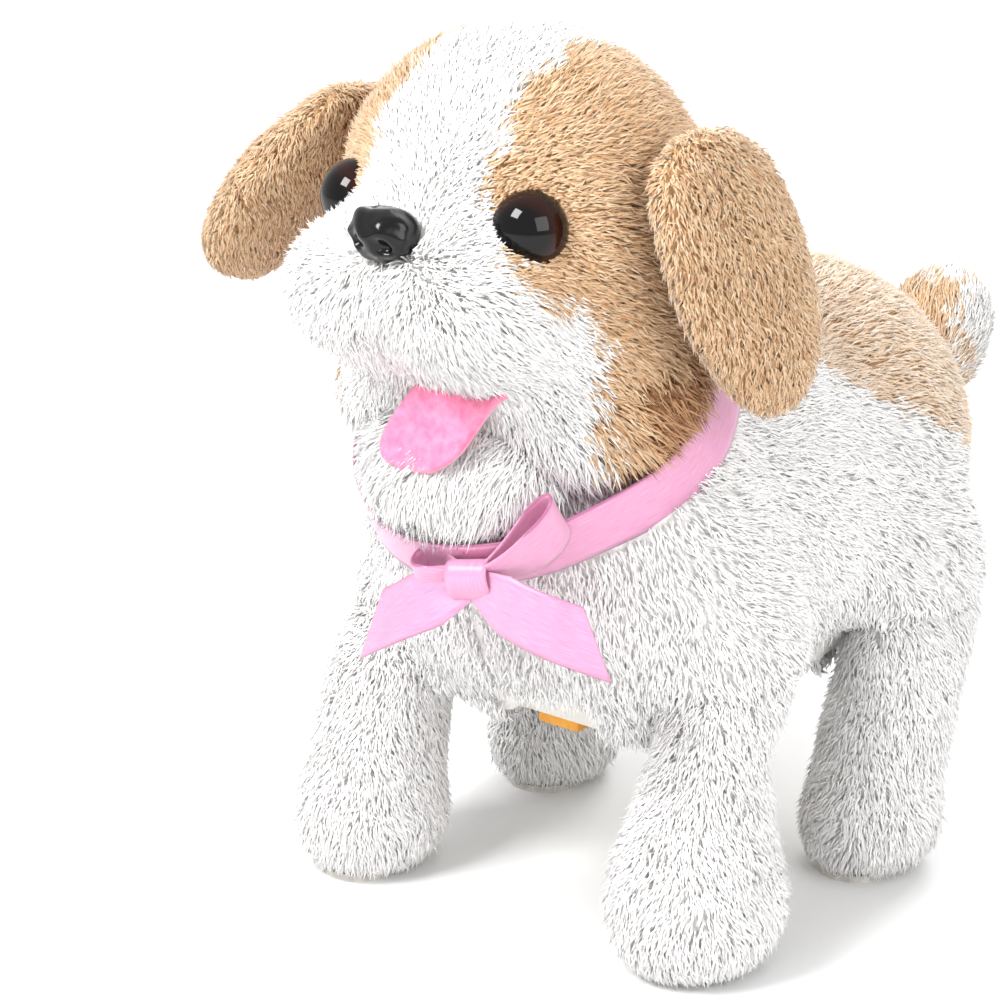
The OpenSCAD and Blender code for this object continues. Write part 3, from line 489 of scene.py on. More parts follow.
def pile(name, skin, count, length, comb, tones, tone_of, seed, keep=None, lift=0.5, width=0.45,
         messy=0.25, clump=3.0, draw=0.15):
    """Pile as closed bent spindles. Roots are spread evenly over the skin's triangles; each strand leaves
    along lift * normal + combed tangent + smooth waves + its own scatter, and its tip bends back towards the
    combed side and is drawn towards the middle of its tuft, a jittered cell of clump millimetres."""
    rng = np.random.default_rng(seed)
    points, normals, tris = mesh_arrays(skin)
    a, b, c = (points[tris[:, i]] for i in range(3))
    area = np.linalg.norm(np.cross(b - a, c - a), axis=1) / 2
    if keep is not None:
        area = area * keep((a + b + c) / 3)
    pick = np.searchsorted(np.cumsum(area), rng.uniform(0, area.sum(), count)).clip(0, len(tris) - 1)
    u, v = rng.uniform(size=(2, count))
    flip = u + v > 1
    u, v = np.where(flip, 1 - u, u), np.where(flip, 1 - v, v)
    w = 1 - u - v
    root = w[:, None] * a[pick] + u[:, None] * b[pick] + v[:, None] * c[pick]
    n = unit(w[:, None] * normals[tris[pick, 0]] + u[:, None] * normals[tris[pick, 1]]
             + v[:, None] * normals[tris[pick, 2]])
    flow = comb(root)
    flow = flow - (flow * n).sum(1, keepdims=True) * n
    side = unit(unit(flow) + messy * waves(root, 13.0, seed + 1) + 0.6 * messy * waves(root, 4.0, seed + 2))
    side = unit(side - (side * n).sum(1, keepdims=True) * n)
    long = (length(root) if callable(length) else np.full(count, float(length)))
    long = (long * rng.uniform(0.7, 1.15, count))[:, None]
    first = unit(n * (lift + 0.35) + 0.6 * side + 0.2 * rng.normal(size=(count, 3)))
    second = unit(n * lift * 0.6 + side + 0.24 * rng.normal(size=(count, 3)))
    cell = np.floor(root / clump)
    jitter = np.sin(cell @ np.array([[12.9, 78.2, 37.7], [39.3, 11.1, 83.1], [73.2, 52.2, 9.4]]).T) * 0.5
    tuft = (cell + 0.5 + 0.6 * jitter) * clump
    mid = root + first * long * 0.48
    tip = mid + second * long * 0.52
    pull = tuft - root
    pull = pull - (pull * n).sum(1, keepdims=True) * n
    tip = tip + draw * pull
    mid = mid + 0.35 * draw * pull
    start = root - 0.5 * n
    axis = unit(tip - start)
    across = unit(np.cross(axis, rng.normal(size=(count, 3))))
    other = np.cross(axis, across)
    half = width / 2 * rng.uniform(0.75, 1.25, count)[:, None]
    corners = [mid + half * (np.cos(t) * across + np.sin(t) * other) for t in 2 * np.pi * np.arange(3) / 3]
    verts = np.stack([start, *corners, tip], 1)
    verts[..., 2] = np.maximum(verts[..., 2], 0.35)
    base = (np.arange(count) * 5)[:, None, None]
    spindle = np.array([[2, 1, 0], [3, 2, 0], [1, 3, 0], [1, 2, 4], [2, 3, 4], [3, 1, 4]])
    faces = (base + spindle).reshape(-1, 3)
    choice = tone_of(root, rng)
    used = np.unique(choice)
    piece = add_mesh(name, verts.reshape(-1, 3), [faces], slots=np.repeat(np.searchsorted(used, choice), 6))
    for index in used:
        piece.data.materials.append(MATERIALS[tones[index]])
    round_normal = np.stack([-axis, *((c - mid) / half for c in corners), axis], 1)
    soft = unit(n[:, None] * 2.0 + round_normal * 0.6)
    piece.data.normals_split_custom_set_from_vertices(soft.reshape(-1, 3).tolist())
    return piece


TONES = ["white_0", "white_1", "white_2", "tan_0", "tan_1", "tan_2", "pale_0", "pale_1", "painted_shade_brown"]


def mixed(rng, count, choices, weights):
    return rng.choice(choices, size=count, p=np.array(weights) / sum(weights))


def by_patch(masks):
    """Tone picker: white everywhere, then each (mask, choices, weights) in turn where its mask is above a
    wavering half."""
    def tone_of(root, rng):
        tone = mixed(rng, len(root), [0, 1, 2], [5, 4, 2])
        waver = waves(root, 7.0, 5)[:, 0] * 1.1 + rng.normal(size=len(root)) * 0.9
        for mask, choices, weights in masks:
            inside = mask(root) + waver > 0
            tone = np.where(inside, mixed(rng, len(root), choices, weights), tone)
        return tone
    return tone_of


def face_patch(p):
    """Signed distance, roughly, into the two tan face patches: beside the blaze, behind the muzzle's edge,
    above the neck and in front of the nape."""
    x, y, z = np.abs(p[:, 0]), p[:, 1], p[:, 2]
    blaze = np.where(p[:, 0] > 0, 13.0, 12.0) + 0.85 * np.clip(155 - z, 0, 20)
    edge = np.interp(z, [108, 118, 126, 136, 146, 156], [-70, -81, -83, -88, -95, -110])
    return np.minimum(np.minimum(x - blaze, y - edge), -30 - y)


def saddle_patch(p):
    return np.minimum(p[:, 2] - 106 + 0.55 * (p[:, 1] - 4), p[:, 1] + 2)


def cheek_shade_patch(p):
    """Signed distance, roughly, into the hollow behind each cheek, above the ribbon, where the pile gets
    painted shade in the darkest tan and the dark brown tone.
    """
    return np.minimum(np.minimum(face_patch(p), p[:, 1] + 64), 121 - p[:, 2])


TAN = ([3, 4, 5], [5, 5, 1.2])
SADDLE = ([6, 7, 3], [4, 4, 1])
# Painted shade: the darkest tan and the dark brown tone, for the hollow behind each cheek.
SHADE = ([5, 8], [3, 2])


def outside(fields, margin):
    """Keeps the places that lie outside every other skin by more than -margin millimetres."""
    def keep(p):
        good = np.ones(len(p), bool)
        for field in fields:
            good &= field(p) > -margin
        return good
    return keep


def both(*tests):
    return lambda p: np.logical_and.reduce([test(p) for test in tests])


def towards(x, y, z):
    return lambda p: np.broadcast_to(np.array([x, y, z], float), p.shape)


def head_comb(p):
    """Pile runs from the nose outwards, over the brow and down the cheeks, and straight down at the neck."""
    low = np.clip((24 - neck_plane(p, 0)) / 8, 0, 1)[:, None]
    return unit(p - np.array([0, -100, 150.0])) + np.array([0, 0.5, -0.35]) + low * np.array([0, 0.3, -1.4])


def body_comb(p):
    """Pile runs back and down, and outwards from the middle of the chest."""
    front = np.clip((-p[:, 1] - 40) / 30, 0, 1)[:, None]
    down = np.array([0, 0.8, -0.7]) * (1 - front) + front * np.stack(
        [p[:, 0] * 0.012, 0 * p[:, 0] - 0.2, -np.ones(len(p))], -1)
    low = np.clip((70 - p[:, 2]) / 14, 0, 1)[:, None]
    down = down * (1 - low) + low * np.array([0, 0.15, -1.0])
    inside = (neck_plane(p, 0) > -4) & (ring_radius(p) < 35.8)
    return np.where(inside[:, None], np.array([0, -0.5, 0.85]), down)


def lever_gap(p):
    """Distance along the puppy from the nearest row of hips."""
    return np.minimum(*(abs(p[:, 1] - hip) for hip in HIP_Y.values()))


def leg_top(name):
    side = 1.0 if name.endswith("left") else -1.0
    return side, HIP_Y[name.split("_")[0]]


# ---------- ribbon and face surfaces ----------


def ring_point(angle, radius, rise):
    """A place by the ribbon's ring: turned by angle from the front towards the puppy's left, radius from its
    middle, and rise up along the leaning axis."""
    angle, radius, rise = np.broadcast_arrays(angle, radius, rise)
    lean = np.array([[1, 0, 0], [0, np.cos(RING_LEAN), np.sin(RING_LEAN)],
                     [0, -np.sin(RING_LEAN), np.cos(RING_LEAN)]])
    flat = np.stack([np.sin(angle) * radius, -np.cos(angle) * radius, rise], -1)
    return RING_C + flat @ lean


def strip_faces(rows, columns, closed=False):
    """Faces of a flat strip with two sides: a grid of quads in front, the same grid turned round behind it,
    and quads along the rim. A closed strip's last row joins its first."""
    last = rows if closed else rows - 1
    i, j = np.meshgrid(np.arange(last), np.arange(columns - 1), indexing="ij")
    k = (i + 1) % rows
    quad = np.stack([i * columns + j, k * columns + j, k * columns + j + 1, i * columns + j + 1], -1)
    quad = quad.reshape(-1, 4)
    r = np.arange(last) * columns
    q = (np.arange(last) + 1) % rows * columns
    behind, edge = rows * columns, columns - 1
    rim = [np.stack([r, r + behind, q + behind, q], -1),
           np.stack([r + edge, q + edge, q + edge + behind, r + edge + behind], -1)]
    if not closed:
        c = np.arange(columns - 1)
        e = (rows - 1) * columns + c
        rim.append(np.stack([c, c + 1, c + 1 + behind, c + behind], -1))
        rim.append(np.stack([e, e + behind, e + 1 + behind, e + 1], -1))
    return [np.concatenate([quad, quad[:, ::-1] + behind, *rim])]


def ribbon(name, path, across, width, closed=False, thick=0.45, cut=0.0, columns=9):
    """Satin strip: for each place on the path, points run from -width/2 to width/2 along the across vector;
    cut slants the free ends. It is closed by a second face thick millimetres behind, and gets a UV map in
    millimetres across and along."""
    s = np.linspace(-0.5, 0.5, columns)
    length = np.concatenate([[0], np.cumsum(np.linalg.norm(np.diff(path, axis=0), axis=1))])
    tangent = unit(np.gradient(path, axis=0))
    across = unit(across)
    if cut:
        share = np.clip((length - (length[-1] - abs(cut) * 2)) / (abs(cut) * 2), 0, 1)
        slide = share[:, None] * s[None, :] * cut * 2
    else:
        slide = np.zeros((len(path), columns))
    spread = np.broadcast_to(width, len(path))[:, None] * s
    grid = path[:, None] + across[:, None] * spread[..., None] + tangent[:, None] * slide[..., None]
    normal = unit(np.cross(tangent, across))[:, None]
    rows = len(path)
    front, back = grid + normal * thick / 2, grid - normal * thick / 2
    points = np.concatenate([front.reshape(-1, 3), back.reshape(-1, 3)])
    piece = add_mesh(name, points, strip_faces(rows, columns, closed))
    mesh = piece.data
    flat = np.stack([np.tile(spread.ravel(), 2), np.tile(np.repeat(length, columns), 2)], -1)
    layer = mesh.uv_layers.new(name="ribbon")
    index = np.empty(len(mesh.loops), np.int32)
    mesh.loops.foreach_get("vertex_index", index)
    layer.data.foreach_set("uv", flat[index].astype(np.float32).ravel())
    fix_normals(piece)
    piece.data.materials.append(MATERIALS["satin"])
    return piece


def fix_normals(piece):
    """Turns every face outwards."""
    bpy.context.view_layer.objects.active = piece
    bpy.ops.object.mode_set(mode="EDIT")
    bpy.ops.mesh.select_all(action="SELECT")
    bpy.ops.mesh.normals_make_consistent(inside=False)
    bpy.ops.object.mode_set(mode="OBJECT")


def dome(name, place, axis, profile, around=72):
    """Closed surface of revolution: profile is (radius, height) from the tip down; each pair turns round the
    axis through place, and one point closes each end. The rim attribute is a point's share of the largest
    radius."""
    axis = unit(np.asarray(axis, float))
    one = unit(np.cross(axis, [0.1, 0.2, 1.0]))
    two = np.cross(axis, one)
    t = np.linspace(0, 2 * np.pi, around, endpoint=False)
    ring = np.cos(t)[:, None] * one + np.sin(t)[:, None] * two
    profile = np.asarray(profile, float)
    body = profile[1:-1]
    grid = place + axis * body[:, 1, None, None] + ring * body[:, 0, None, None]
    ends = [place + axis * profile[0, 1]], [place + axis * profile[-1, 1]]
    piece = add_mesh(name, np.concatenate([grid.reshape(-1, 3), *ends]), round_faces(len(body), around))
    rim = np.concatenate([np.repeat(body[:, 0], around), [0, 0]]) / body[:, 0].max()
    piece.data.attributes.new("rim", "FLOAT", "POINT").data.foreach_set("value", rim.astype(np.float32))
    fix_normals(piece)
    return piece


# ---------- settings ----------


class PuppyPile(bpy.types.PropertyGroup):
    """How long and dense the pile is."""
    body_length: bpy.props.FloatProperty(name="Body pile", description="Pile length on body and legs",
                                         default=4.0 * MM, unit="LENGTH", subtype="DISTANCE")
    head_length: bpy.props.FloatProperty(name="Head pile", description="Pile length on the head",
                                         default=4.2 * MM, unit="LENGTH", subtype="DISTANCE")
    ear_length: bpy.props.FloatProperty(name="Ear pile", description="Pile length on the ears",
                                        default=3.2 * MM, unit="LENGTH", subtype="DISTANCE")
    density: bpy.props.FloatProperty(name="Density", description="Share of the full number of strands",
                                     default=1.0, min=0.05, max=1.0, subtype="FACTOR")


class PuppyStage(bpy.types.PropertyGroup):
    """Camera and floor colour of the studio."""
    camera_place: bpy.props.FloatVectorProperty(name="Camera place", description="Where the camera stands",
                                                default=(0.3751, -0.5086, 0.2792), size=3,
                                                subtype="TRANSLATION")
    camera_look: bpy.props.FloatVectorProperty(name="Camera direction", description="Where the camera looks",
                                               default=(-0.612, 0.728, -0.309), size=3, subtype="DIRECTION")
    lens: bpy.props.FloatProperty(name="Lens", description="Focal length in millimetres", default=114.0)
    floor_colour: bpy.props.FloatVectorProperty(name="Floor colour", description="Colour of the studio floor",
                                                default=linear("#f2f2f2")[:3], size=3, subtype="COLOR")


SKINS = {}


class PUPPY_OT_mechanism(bpy.types.Operator):
    """Give the moulded, steel and felt parts of the mechanism their finishes"""
    bl_idname = "puppy.mechanism"
    bl_label = "Finish mechanism"

    def execute(self, context):
        make_materials()
        MATERIALS["satin"] = satin_material()
        MATERIALS["eye"] = eye_material()
        slots = {part["node"]: part["material_slot"] for part in frame["record"]["subparts"]}
        spare = {"white_plush": "backing_white", "tan_plush": "backing_tan", "black_gloss": "nose_gloss",
                 "satin_ribbon": "satin"}
        for node, slot in slots.items():
            piece = frame["nodes"][node]
            material = MATERIALS[spare.get(slot, slot)]
            piece.data.materials.clear()
            piece.data.materials.append(material)
        return {"FINISHED"}


class PUPPY_OT_skins(bpy.types.Operator):
    """Build the stuffed skins of body, head, jaw, legs, ears and tail"""
    bl_idname = "puppy.skins"
    bl_label = "Build skins"

    def execute(self, context):
        def skin(key, field, centre, inset, body, node, slot="white_plush", voxel=3.5, cap=1.2, fill=0.8,
                 finish="backing_white"):
            piece = star_skin(key + "_skin", field, centre, inset)
            stuff(piece, voxel, 4.0, cap)
            piece.data.materials.clear()
            piece.data.materials.append(MATERIALS[finish])
            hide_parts(node)
            SKINS[key] = (piece, body)
            return piece

        def patch(key, mask):
            """Tan backing for the faces whose middle lies inside the mask."""
            piece = SKINS[key][0]
            piece.data.materials.append(MATERIALS["backing_tan"])
            middle = np.empty(len(piece.data.polygons) * 3, np.float32)
            piece.data.polygons.foreach_get("center", middle)
            inside = mask(middle.reshape(-1, 3) / MM) > 0
            piece.data.polygons.foreach_set("material_index", inside.astype(np.int32))

        skin("body", body_field, (0, -8, 78), 3.0, "root", "body_cover")
        skin("head", head_field, (0, -60, 137), 3.2, "head", "head_cover")
        patch("body", saddle_patch)
        patch("head", face_patch)
        skin("jaw", chin_field, (0, -76, 104), 2.4, "jaw", "jaw_cover", voxel=3.0)
        for name in LEGS:
            stations = LEGS[name]
            centre = (stations[1][0][0], (stations[1][0][1] + stations[2][0][1]) / 2, 31)
            skin("leg_" + name, leg_field(name), centre, 3.0, "leg_" + name, "leg_cover_" + name, voxel=3.0)
        skin("ear_left", chain_field(EAR_LEFT), (48, -52, 141), 1.6, "ear_flap_left", "ear_left", "tan_plush",
             voxel=2.5, cap=0.6, finish="backing_tan")
        skin("ear_right", chain_field(EAR_RIGHT), (-60, -54, 146), 1.8, "ear_flap_right", "ear_right",
             "tan_plush", voxel=2.5, cap=0.6, finish="backing_tan")
        skin("tail", chain_field(TAIL), (6.5, 78, 92), 2.8, "tail", "tail_cover", "tan_plush", voxel=2.5,
             cap=0.6, finish="backing_tan")
        return {"FINISHED"}


class PUPPY_OT_pile(bpy.types.Operator):
    """Cover the skins with combed pile"""
    bl_idname = "puppy.pile"
    bl_label = "Grow pile"

    def execute(self, context):
        settings = context.scene.puppy_pile
        dense = settings.density * 1.0
        long, face, ear = (value / MM for value in (settings.body_length, settings.head_length,
                                                    settings.ear_length))
        white = by_patch([])

        def grow(key, part, count, length, comb, tone_of, seed, keep, slot="white_plush", **how):
            piece = pile(part + "_pile", SKINS[key][0], int(count * dense), length, comb, TONES, tone_of,
                         seed, keep, **how)
            return piece

        belly = lambda p: ~((np.abs(p[:, 0]) < 25) & (np.abs(p[:, 1] + 3) < 45.5) & (p[:, 2] < 50)
                           | (np.abs(p[:, 0] - 5) < 12) & (p[:, 1] < -36) & (p[:, 2] < 50.5))

        def tube_free(p):
            return np.logical_and.reduce([leg_tube(p, name, 7.0) > 0 for name in LEGS])

        clear = both(belly, lambda p: tube_free(p) | (p[:, 2] > LEG_CUT + 0.5)
                     | (np.abs(p[:, 0]) < 28.5) & (lever_gap(p) > 8.5))
        neck_free = lambda p: (neck_plane(p, 0) < -4.5) | (ring_radius(p) < 35.0) & (neck_plane(p, 0) > -2)
        seam = lambda p: (np.abs(p[:, 0]) > 0.7) | (p[:, 1] > -50) | (p[:, 2] > 74)
        body_tone = by_patch([(saddle_patch, *SADDLE)])
        for part, low, high, count, seed in (("chest", -200, -22, 28000, 11), ("flank", -22, 18, 26000, 12),
                                             ("rump", 18, 200, 26000, 13)):
            span = lambda p, low=low, high=high: (p[:, 1] >= low) & (p[:, 1] < high)
            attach(grow("body", part, count, long, body_comb, body_tone, seed,
                         both(clear, span, neck_free, seam)), "root")
        # Tan face patches, then painted shade in the hollow behind each cheek.
        head_tone = by_patch([(face_patch, *TAN), (cheek_shade_patch, *SHADE)])
        eyes = np.array([EYE, (-EYE[0], *EYE[1:])])

        def bare(p):
            near = np.min(np.linalg.norm(p[:, None] - eyes, axis=-1), axis=1) > 6.3
            return near & (np.linalg.norm(p - NOSE, axis=-1) > 6.5)

        def face_length(p):
            muzzle = np.clip((-p[:, 1] - 76) / 10, 0, 1) * np.clip((150 - p[:, 2]) / 10, 0, 1)
            near = np.min(np.linalg.norm(p[:, None] - eyes, axis=-1), axis=1)
            neck = np.clip((22 - neck_plane(p, 0)) / 8, 0, 1)
            return face * np.clip(near / 14, 0.55, 1) + muzzle * 0.7 + neck * 4.5

        for part, test, count, seed in (("muzzle", lambda p: p[:, 1] < -72, 28000, 21),
                                        ("crown", lambda p: (p[:, 1] >= -72) & (p[:, 2] >= 140), 25000, 22),
                                        ("cheek", lambda p: (p[:, 1] >= -72) & (p[:, 2] < 140), 25000, 23)):
            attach(grow("head", part, count, face_length, head_comb, head_tone, seed, both(bare, test)),
                    "head")
        chin_keep = outside([head_field], 3.0)
        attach(grow("jaw", "chin", 13000, 8.0, towards(0, -0.35, -1), white, 31, chin_keep, lift=0.4),
                "jaw")
        for index, name in enumerate(LEGS):
            side, hip = leg_top(name)
            inner = lambda p, side=side: (side * p[:, 0] > 28.5) | (p[:, 2] < 44)
            outer = lambda p: (fleece(p) > -5.5) | (p[:, 2] < LEG_CUT + 1)
            piece = grow("leg_" + name, "leg_" + name, 20500, long, towards(0, 0.1, -1), white, 41 + index,
                         both(outer, inner, lambda p: (p[:, 2] > 1.0) & (p[:, 2] < LEG_CUT + 6.5)))
            for part in (piece, SKINS["leg_" + name][0]):
                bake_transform(part)
        ear_tone = lambda root, rng: mixed(rng, len(root), *TAN)
        for key, seed in (("ear_left", 51), ("ear_right", 52)):
            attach(grow(key, key, 13000, ear, towards(0, 0.1, -1), ear_tone, seed, None, "tan_plush",
                         lift=0.35, messy=0.25, clump=2.4), SKINS[key][1])
        tan_side = lambda p: np.minimum(10.0 - (p[:, 0] - 4) * 0.9, 107 - p[:, 2])
        tail_tone = by_patch([(tan_side, [3, 4, 7], [3, 4, 3])])
        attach(grow("tail", "tail", 10000, 4.5, towards(0, 0.3, 1), tail_tone, 61, None, "tan_plush"),
                "tail")
        for key in ("body", "head", "jaw", "ear_left", "ear_right", "tail"):
            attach(*SKINS[key])
        return {"FINISHED"}


class PUPPY_OT_face(bpy.types.Operator):
    """Set the eyes, the nose and the tongue"""
    bl_idname = "puppy.face"
    bl_label = "Build face"

    def execute(self, context):
        t = np.linspace(0, np.pi / 2, 26)
        for side, node in ((1, "eye_left"), (-1, "eye_right")):
            turn = np.radians(20) * side
            axis = np.array([np.sin(turn), -np.cos(turn), 0])
            place = np.array([side * EYE[0], *EYE[1:]])
            profile = np.concatenate([
                np.stack([7.25 * np.sin(t), 0.3 + 6.7 * np.cos(t)], -1),
                [[7.25, -0.6], [6.9, -1.0], [1.75, -1.0], [1.75, -8.0], [0, -8.0]]])
            eye = dome(node + "_dome", place, axis, profile)
            eye.data.materials.append(MATERIALS["eye"])
            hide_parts(node)
            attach(eye, "head")
        self.nose()
        self.tongue()
        return {"FINISHED"}

    def nose(self):
        """Nose: half sizes 7.0, 5.2 and 5.0 mm, raised to a power for full corners, with two nostril dents
        and low moulded lumps from smooth waves."""
        u = np.linspace(0, 2 * np.pi, 90, endpoint=False)
        v = np.linspace(0, np.pi, 50)[1:-1]
        ring = np.stack(np.broadcast_arrays(np.sin(v)[:, None] * np.cos(u), np.cos(v)[:, None] + 0 * u,
                                            np.sin(v)[:, None] * np.sin(u)), -1).reshape(-1, 3)
        rays = np.concatenate([ring, [[0, 1.0, 0], [0, -1.0, 0]]])
        shape = np.sign(rays) * np.abs(rays) ** 0.9 * np.array([7.0, 5.2, 5.0])
        shape[:, 0] *= 1 + 0.12 * rays[:, 2]
        for x in (-3.2, 3.2):
            dent = np.exp(-(((shape - np.array([x, -4.2, -1.2])) / np.array([1.6, 2.5, 1.3])) ** 2).sum(1))
            shape[:, 1] += 1.6 * dent
        shape += 0.35 * waves(shape, 5.0, 71) * (rays[:, 1:2] < 0.2)
        points = shape + np.array([-0.4, -94.2, 148.2])
        nose = add_mesh("nose_moulded", points, round_faces(len(v), len(u)))
        fix_normals(nose)
        nose.data.materials.append(MATERIALS["nose_gloss"])
        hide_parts("nose")
        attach(nose, "head")

    def tongue(self):
        """Tongue: a felt strip 19 mm wide whose middle line runs out over the jaw and hangs down over the
        chin; its width falls to nothing on a superellipse at the tip."""
        s = np.linspace(0, 1, 48)
        out = 13.5 * np.sin(np.clip(s * 1.9, 0, 1) * np.pi / 2) + 8.5 * np.clip(s - 0.4, 0, 1) ** 1.1
        height = 119.5 + 0.3 * s - 31 * np.clip(s - 0.36, 0, 1) ** 1.3
        line = np.stack([15.5 - 16.0 * s, -70 - out, height], -1)
        a = np.linspace(-1, 1, 25)
        half = 9.5 * (1 - np.clip((s - 0.72) / 0.28, 0, 0.995) ** 3.2) ** (1 / 2.2)
        sag = 0.9 * a ** 2 + 0 * half[:, None]
        grid = line[:, None] + np.stack([half[:, None] * a, -sag * 0.6, -sag * 0.5], -1)
        grid[..., 1] += 0.25 * np.sin(grid[..., 0] * 0.55 + 1.0)
        tangent = unit(np.gradient(grid, axis=0))
        acrossv = unit(np.gradient(grid, axis=1))
        normal = unit(np.cross(acrossv, tangent))
        points = np.concatenate([(grid + 0.8 * normal).reshape(-1, 3), (grid - 0.8 * normal).reshape(-1, 3)])
        tongue = add_mesh("tongue_felt", points, strip_faces(*grid.shape[:2]))
        fix_normals(tongue)
        tongue.data.materials.append(MATERIALS["tongue_felt"])
        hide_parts("tongue")
        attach(tongue, "jaw")


class PUPPY_OT_ribbon(bpy.types.Operator):
    """Tie the satin ribbon: collar, knot, two loops and two cut tails"""
    bl_idname = "puppy.ribbon"
    bl_label = "Tie ribbon"

    def execute(self, context):
        a = np.linspace(0, 2 * np.pi, 160, endpoint=False)
        wave = 0.5 * np.sin(3 * a + 1) + 0.3 * np.sin(7 * a) + 2.4 * np.exp(-((a - 0.85) / 0.4) ** 2)
        path = ring_point(a, RING_R + 0.6, wave)
        axis = np.array([0, -np.sin(RING_LEAN), np.cos(RING_LEAN)])
        outward = unit(path - RING_C)
        across = axis + 0.14 * np.sin(2 * a + 0.5)[:, None] * outward
        collar = ribbon("ribbon_collar_band", path, across, 12.4, closed=True)
        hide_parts("ribbon_collar")
        self.place(collar, (0.0127, 0.238), "gathered")
        pieces = []
        for side, node in ((1, "left"), (-1, "right")):
            s = np.linspace(0, 1, 46)
            reach = 19.0 if side > 0 else 13.0
            out = np.sin(np.pi * s) ** 0.8 * reach
            lift = 2.9 * np.sin(2 * np.pi * s)
            rise = 1.2 + (7.0 if side > 0 else -2.5) * np.sin(np.pi * s)
            angle = BOW_TURN + side * out / RING_R
            climb = 0.198 if side > 0 else -0.088
            path = ring_point(angle, RING_R + 4.2 + lift - 0.05 * out, rise + climb * out)
            pinch = 5.0 + 7.4 * np.clip(np.sin(np.pi * s) * 1.5, 0, 1)
            flare = axis + side * 0.25 * unit(path - RING_C)
            pieces.append(ribbon("ribbon_loop_" + node, path, flare, pinch))
        for side, node in ((1, "left"), (-1, "right")):
            s = np.linspace(0, 1, 34)
            root = ring_point(BOW_TURN, RING_R + 5.0 + 0.5 * side, 1.5)
            lean = np.array([0.93, 0.10, -0.26]) if side > 0 else np.array([-0.80, -0.15, -0.47])
            lean = unit(lean)
            path = root + lean * (27.5 * s)[:, None]
            path[:, 1] += 1.5 * s ** 2 - 2.2 * np.sin(np.pi * s)
            acrossv = np.cross(lean, np.array([0.15 * side, -1, 0.25]))
            curl = 0.22 * np.sin(3.0 * s + side)[:, None] * np.array([0, 1, 0])
            acrossv = unit(acrossv) + curl
            pieces.append(ribbon("ribbon_tail_" + node, path, acrossv, 6.0 + 5.8 * np.clip(s * 3.2, 0, 1),
                                    cut=5.5 * side))
        knot = self.knot()
        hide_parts("ribbon_knot")
        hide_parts("ribbon_bow")
        for piece, flat in zip(pieces, ((0.0127, 0.042), (0.0127, 0.029), (0.0127, 0.031), (0.0127, 0.031))):
            self.place(piece, flat, "gathered")
        self.place(knot, (0.0127, 0.025), "folded", area=0.00024)
        return {"FINISHED"}

    def knot(self):
        """Knot: the strip goes once round the bow's middle on an oval, and its width is gathered."""
        a = np.linspace(0, 2 * np.pi, 48, endpoint=False)
        centre = ring_point(BOW_TURN, RING_R + 4.6, 1.0)
        axis = np.array([0, -np.sin(RING_LEAN), np.cos(RING_LEAN)])
        outward = unit(centre - RING_C)
        along = unit(np.cross(axis, outward))
        path = centre + 3.2 * np.cos(a)[:, None] * outward + 4.6 * np.sin(a)[:, None] * axis
        return ribbon("ribbon_knot_wrap", path, np.broadcast_to(along, path.shape), 8.6, closed=True)

    def place(self, piece, flat, held, area=None):
        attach(piece, "root")


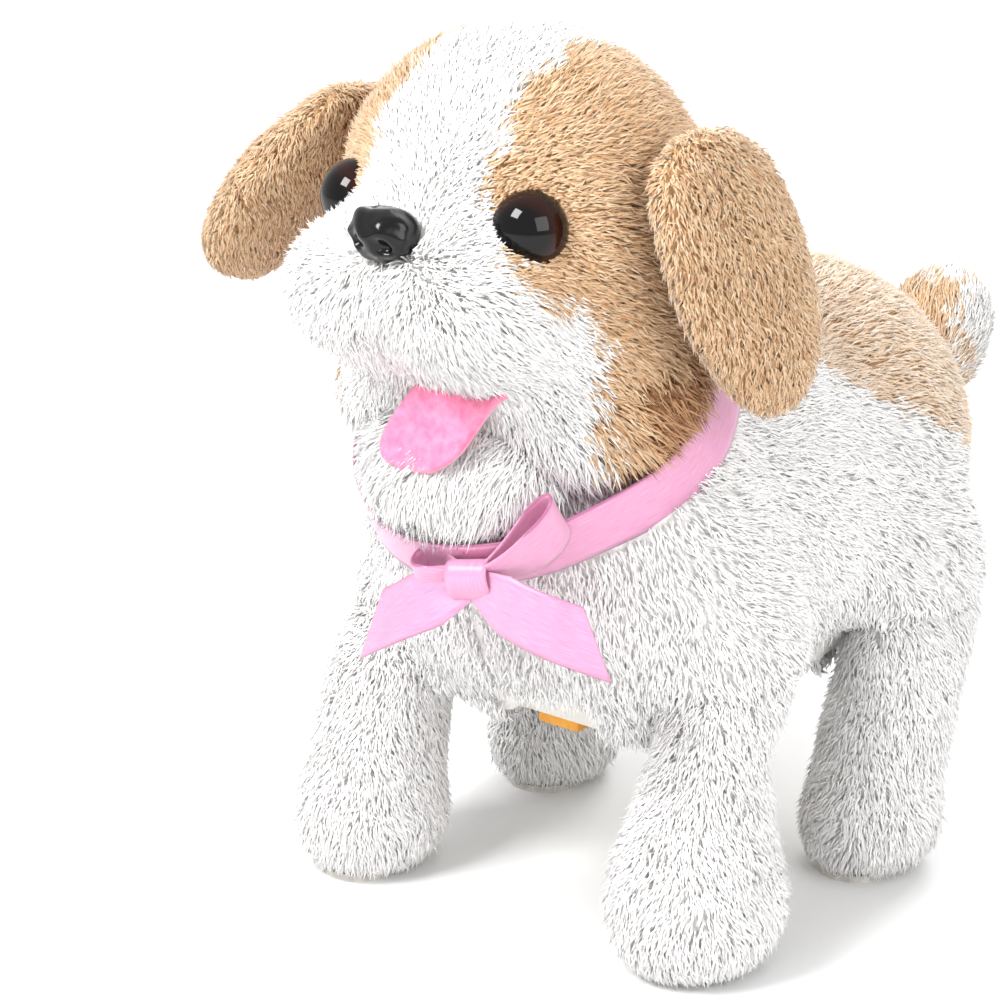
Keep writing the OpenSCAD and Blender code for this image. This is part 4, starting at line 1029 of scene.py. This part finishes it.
class PUPPY_OT_stage(bpy.types.Operator):
    """Set the floor, the soft lights and the camera"""
    bl_idname = "puppy.stage"
    bl_label = "Set stage"

    def execute(self, context):
        settings = context.scene.puppy_stage
        material, _, shader = new_material("painted_floor")
        set_shader(shader, Base_Color=(*settings.floor_colour, 1.0), Roughness=0.8)
        edge = 3000.0
        floor = add_mesh("studio_floor", np.array([[-edge, -edge, 0], [edge, -edge, 0], [edge, edge, 0],
                                                   [-edge, edge, 0]]), [np.array([[0, 1, 2, 3]])])
        floor.data.materials.append(material)
        world = bpy.data.worlds.new("studio")
        world.use_nodes = True
        back = world.node_tree.nodes["Background"]
        back.inputs["Color"].default_value = linear("#ffffff")
        back.inputs["Strength"].default_value = 0.75
        context.scene.world = world
        for name, place, power, size in (("key", (-0.25, -0.85, 0.95), 14.0, 0.45),
                                         ("fill", (0.95, -0.35, 0.55), 5.0, 0.7),
                                         ("back", (-0.2, 0.9, 0.8), 8.0, 0.6)):
            data = bpy.data.lights.new(name, "AREA")
            data.energy = power
            data.size = size
            lamp = bpy.data.objects.new(name, data)
            lamp.location = place
            aim = Vector((0, -0.03, 0.09)) - Vector(place)
            lamp.rotation_euler = aim.to_track_quat("-Z", "Y").to_euler()
            context.scene.collection.objects.link(lamp)
        data = bpy.data.cameras.new("camera")
        data.lens = settings.lens
        data.sensor_width = 36
        camera = bpy.data.objects.new("camera", data)
        camera.location = settings.camera_place
        camera.rotation_euler = Vector(settings.camera_look).to_track_quat("-Z", "Y").to_euler()
        context.scene.collection.objects.link(camera)
        context.scene.camera = camera
        context.scene.view_settings.view_transform = "Standard"
        return {"FINISHED"}


STEPS = (PUPPY_OT_mechanism, PUPPY_OT_skins, PUPPY_OT_pile, PUPPY_OT_face, PUPPY_OT_ribbon, PUPPY_OT_stage)


class PUPPY_PT_panel(bpy.types.Panel):
    """Puppy tools"""
    bl_label = "Puppy"
    bl_idname = "PUPPY_PT_panel"
    bl_space_type = "VIEW_3D"
    bl_region_type = "UI"
    bl_category = "Puppy"

    def draw(self, context):
        for step in STEPS:
            self.layout.operator(step.bl_idname)
        for group in (context.scene.puppy_pile, context.scene.puppy_stage):
            for key in group.bl_rna.properties.keys():
                if key not in ("rna_type", "name"):
                    self.layout.prop(group, key)


CLASSES = (PuppyPile, PuppyStage, *STEPS, PUPPY_PT_panel)


def register():
    for item in CLASSES:
        bpy.utils.register_class(item)
    bpy.types.Scene.puppy_pile = bpy.props.PointerProperty(type=PuppyPile)
    bpy.types.Scene.puppy_stage = bpy.props.PointerProperty(type=PuppyStage)


def unregister():
    del bpy.types.Scene.puppy_pile
    del bpy.types.Scene.puppy_stage
    for item in reversed(CLASSES):
        bpy.utils.unregister_class(item)


def main():
    register()
    for step in STEPS:
        getattr(bpy.ops.puppy, step.bl_idname.split(".")[1])()


if __name__ == "__main__":
    main()
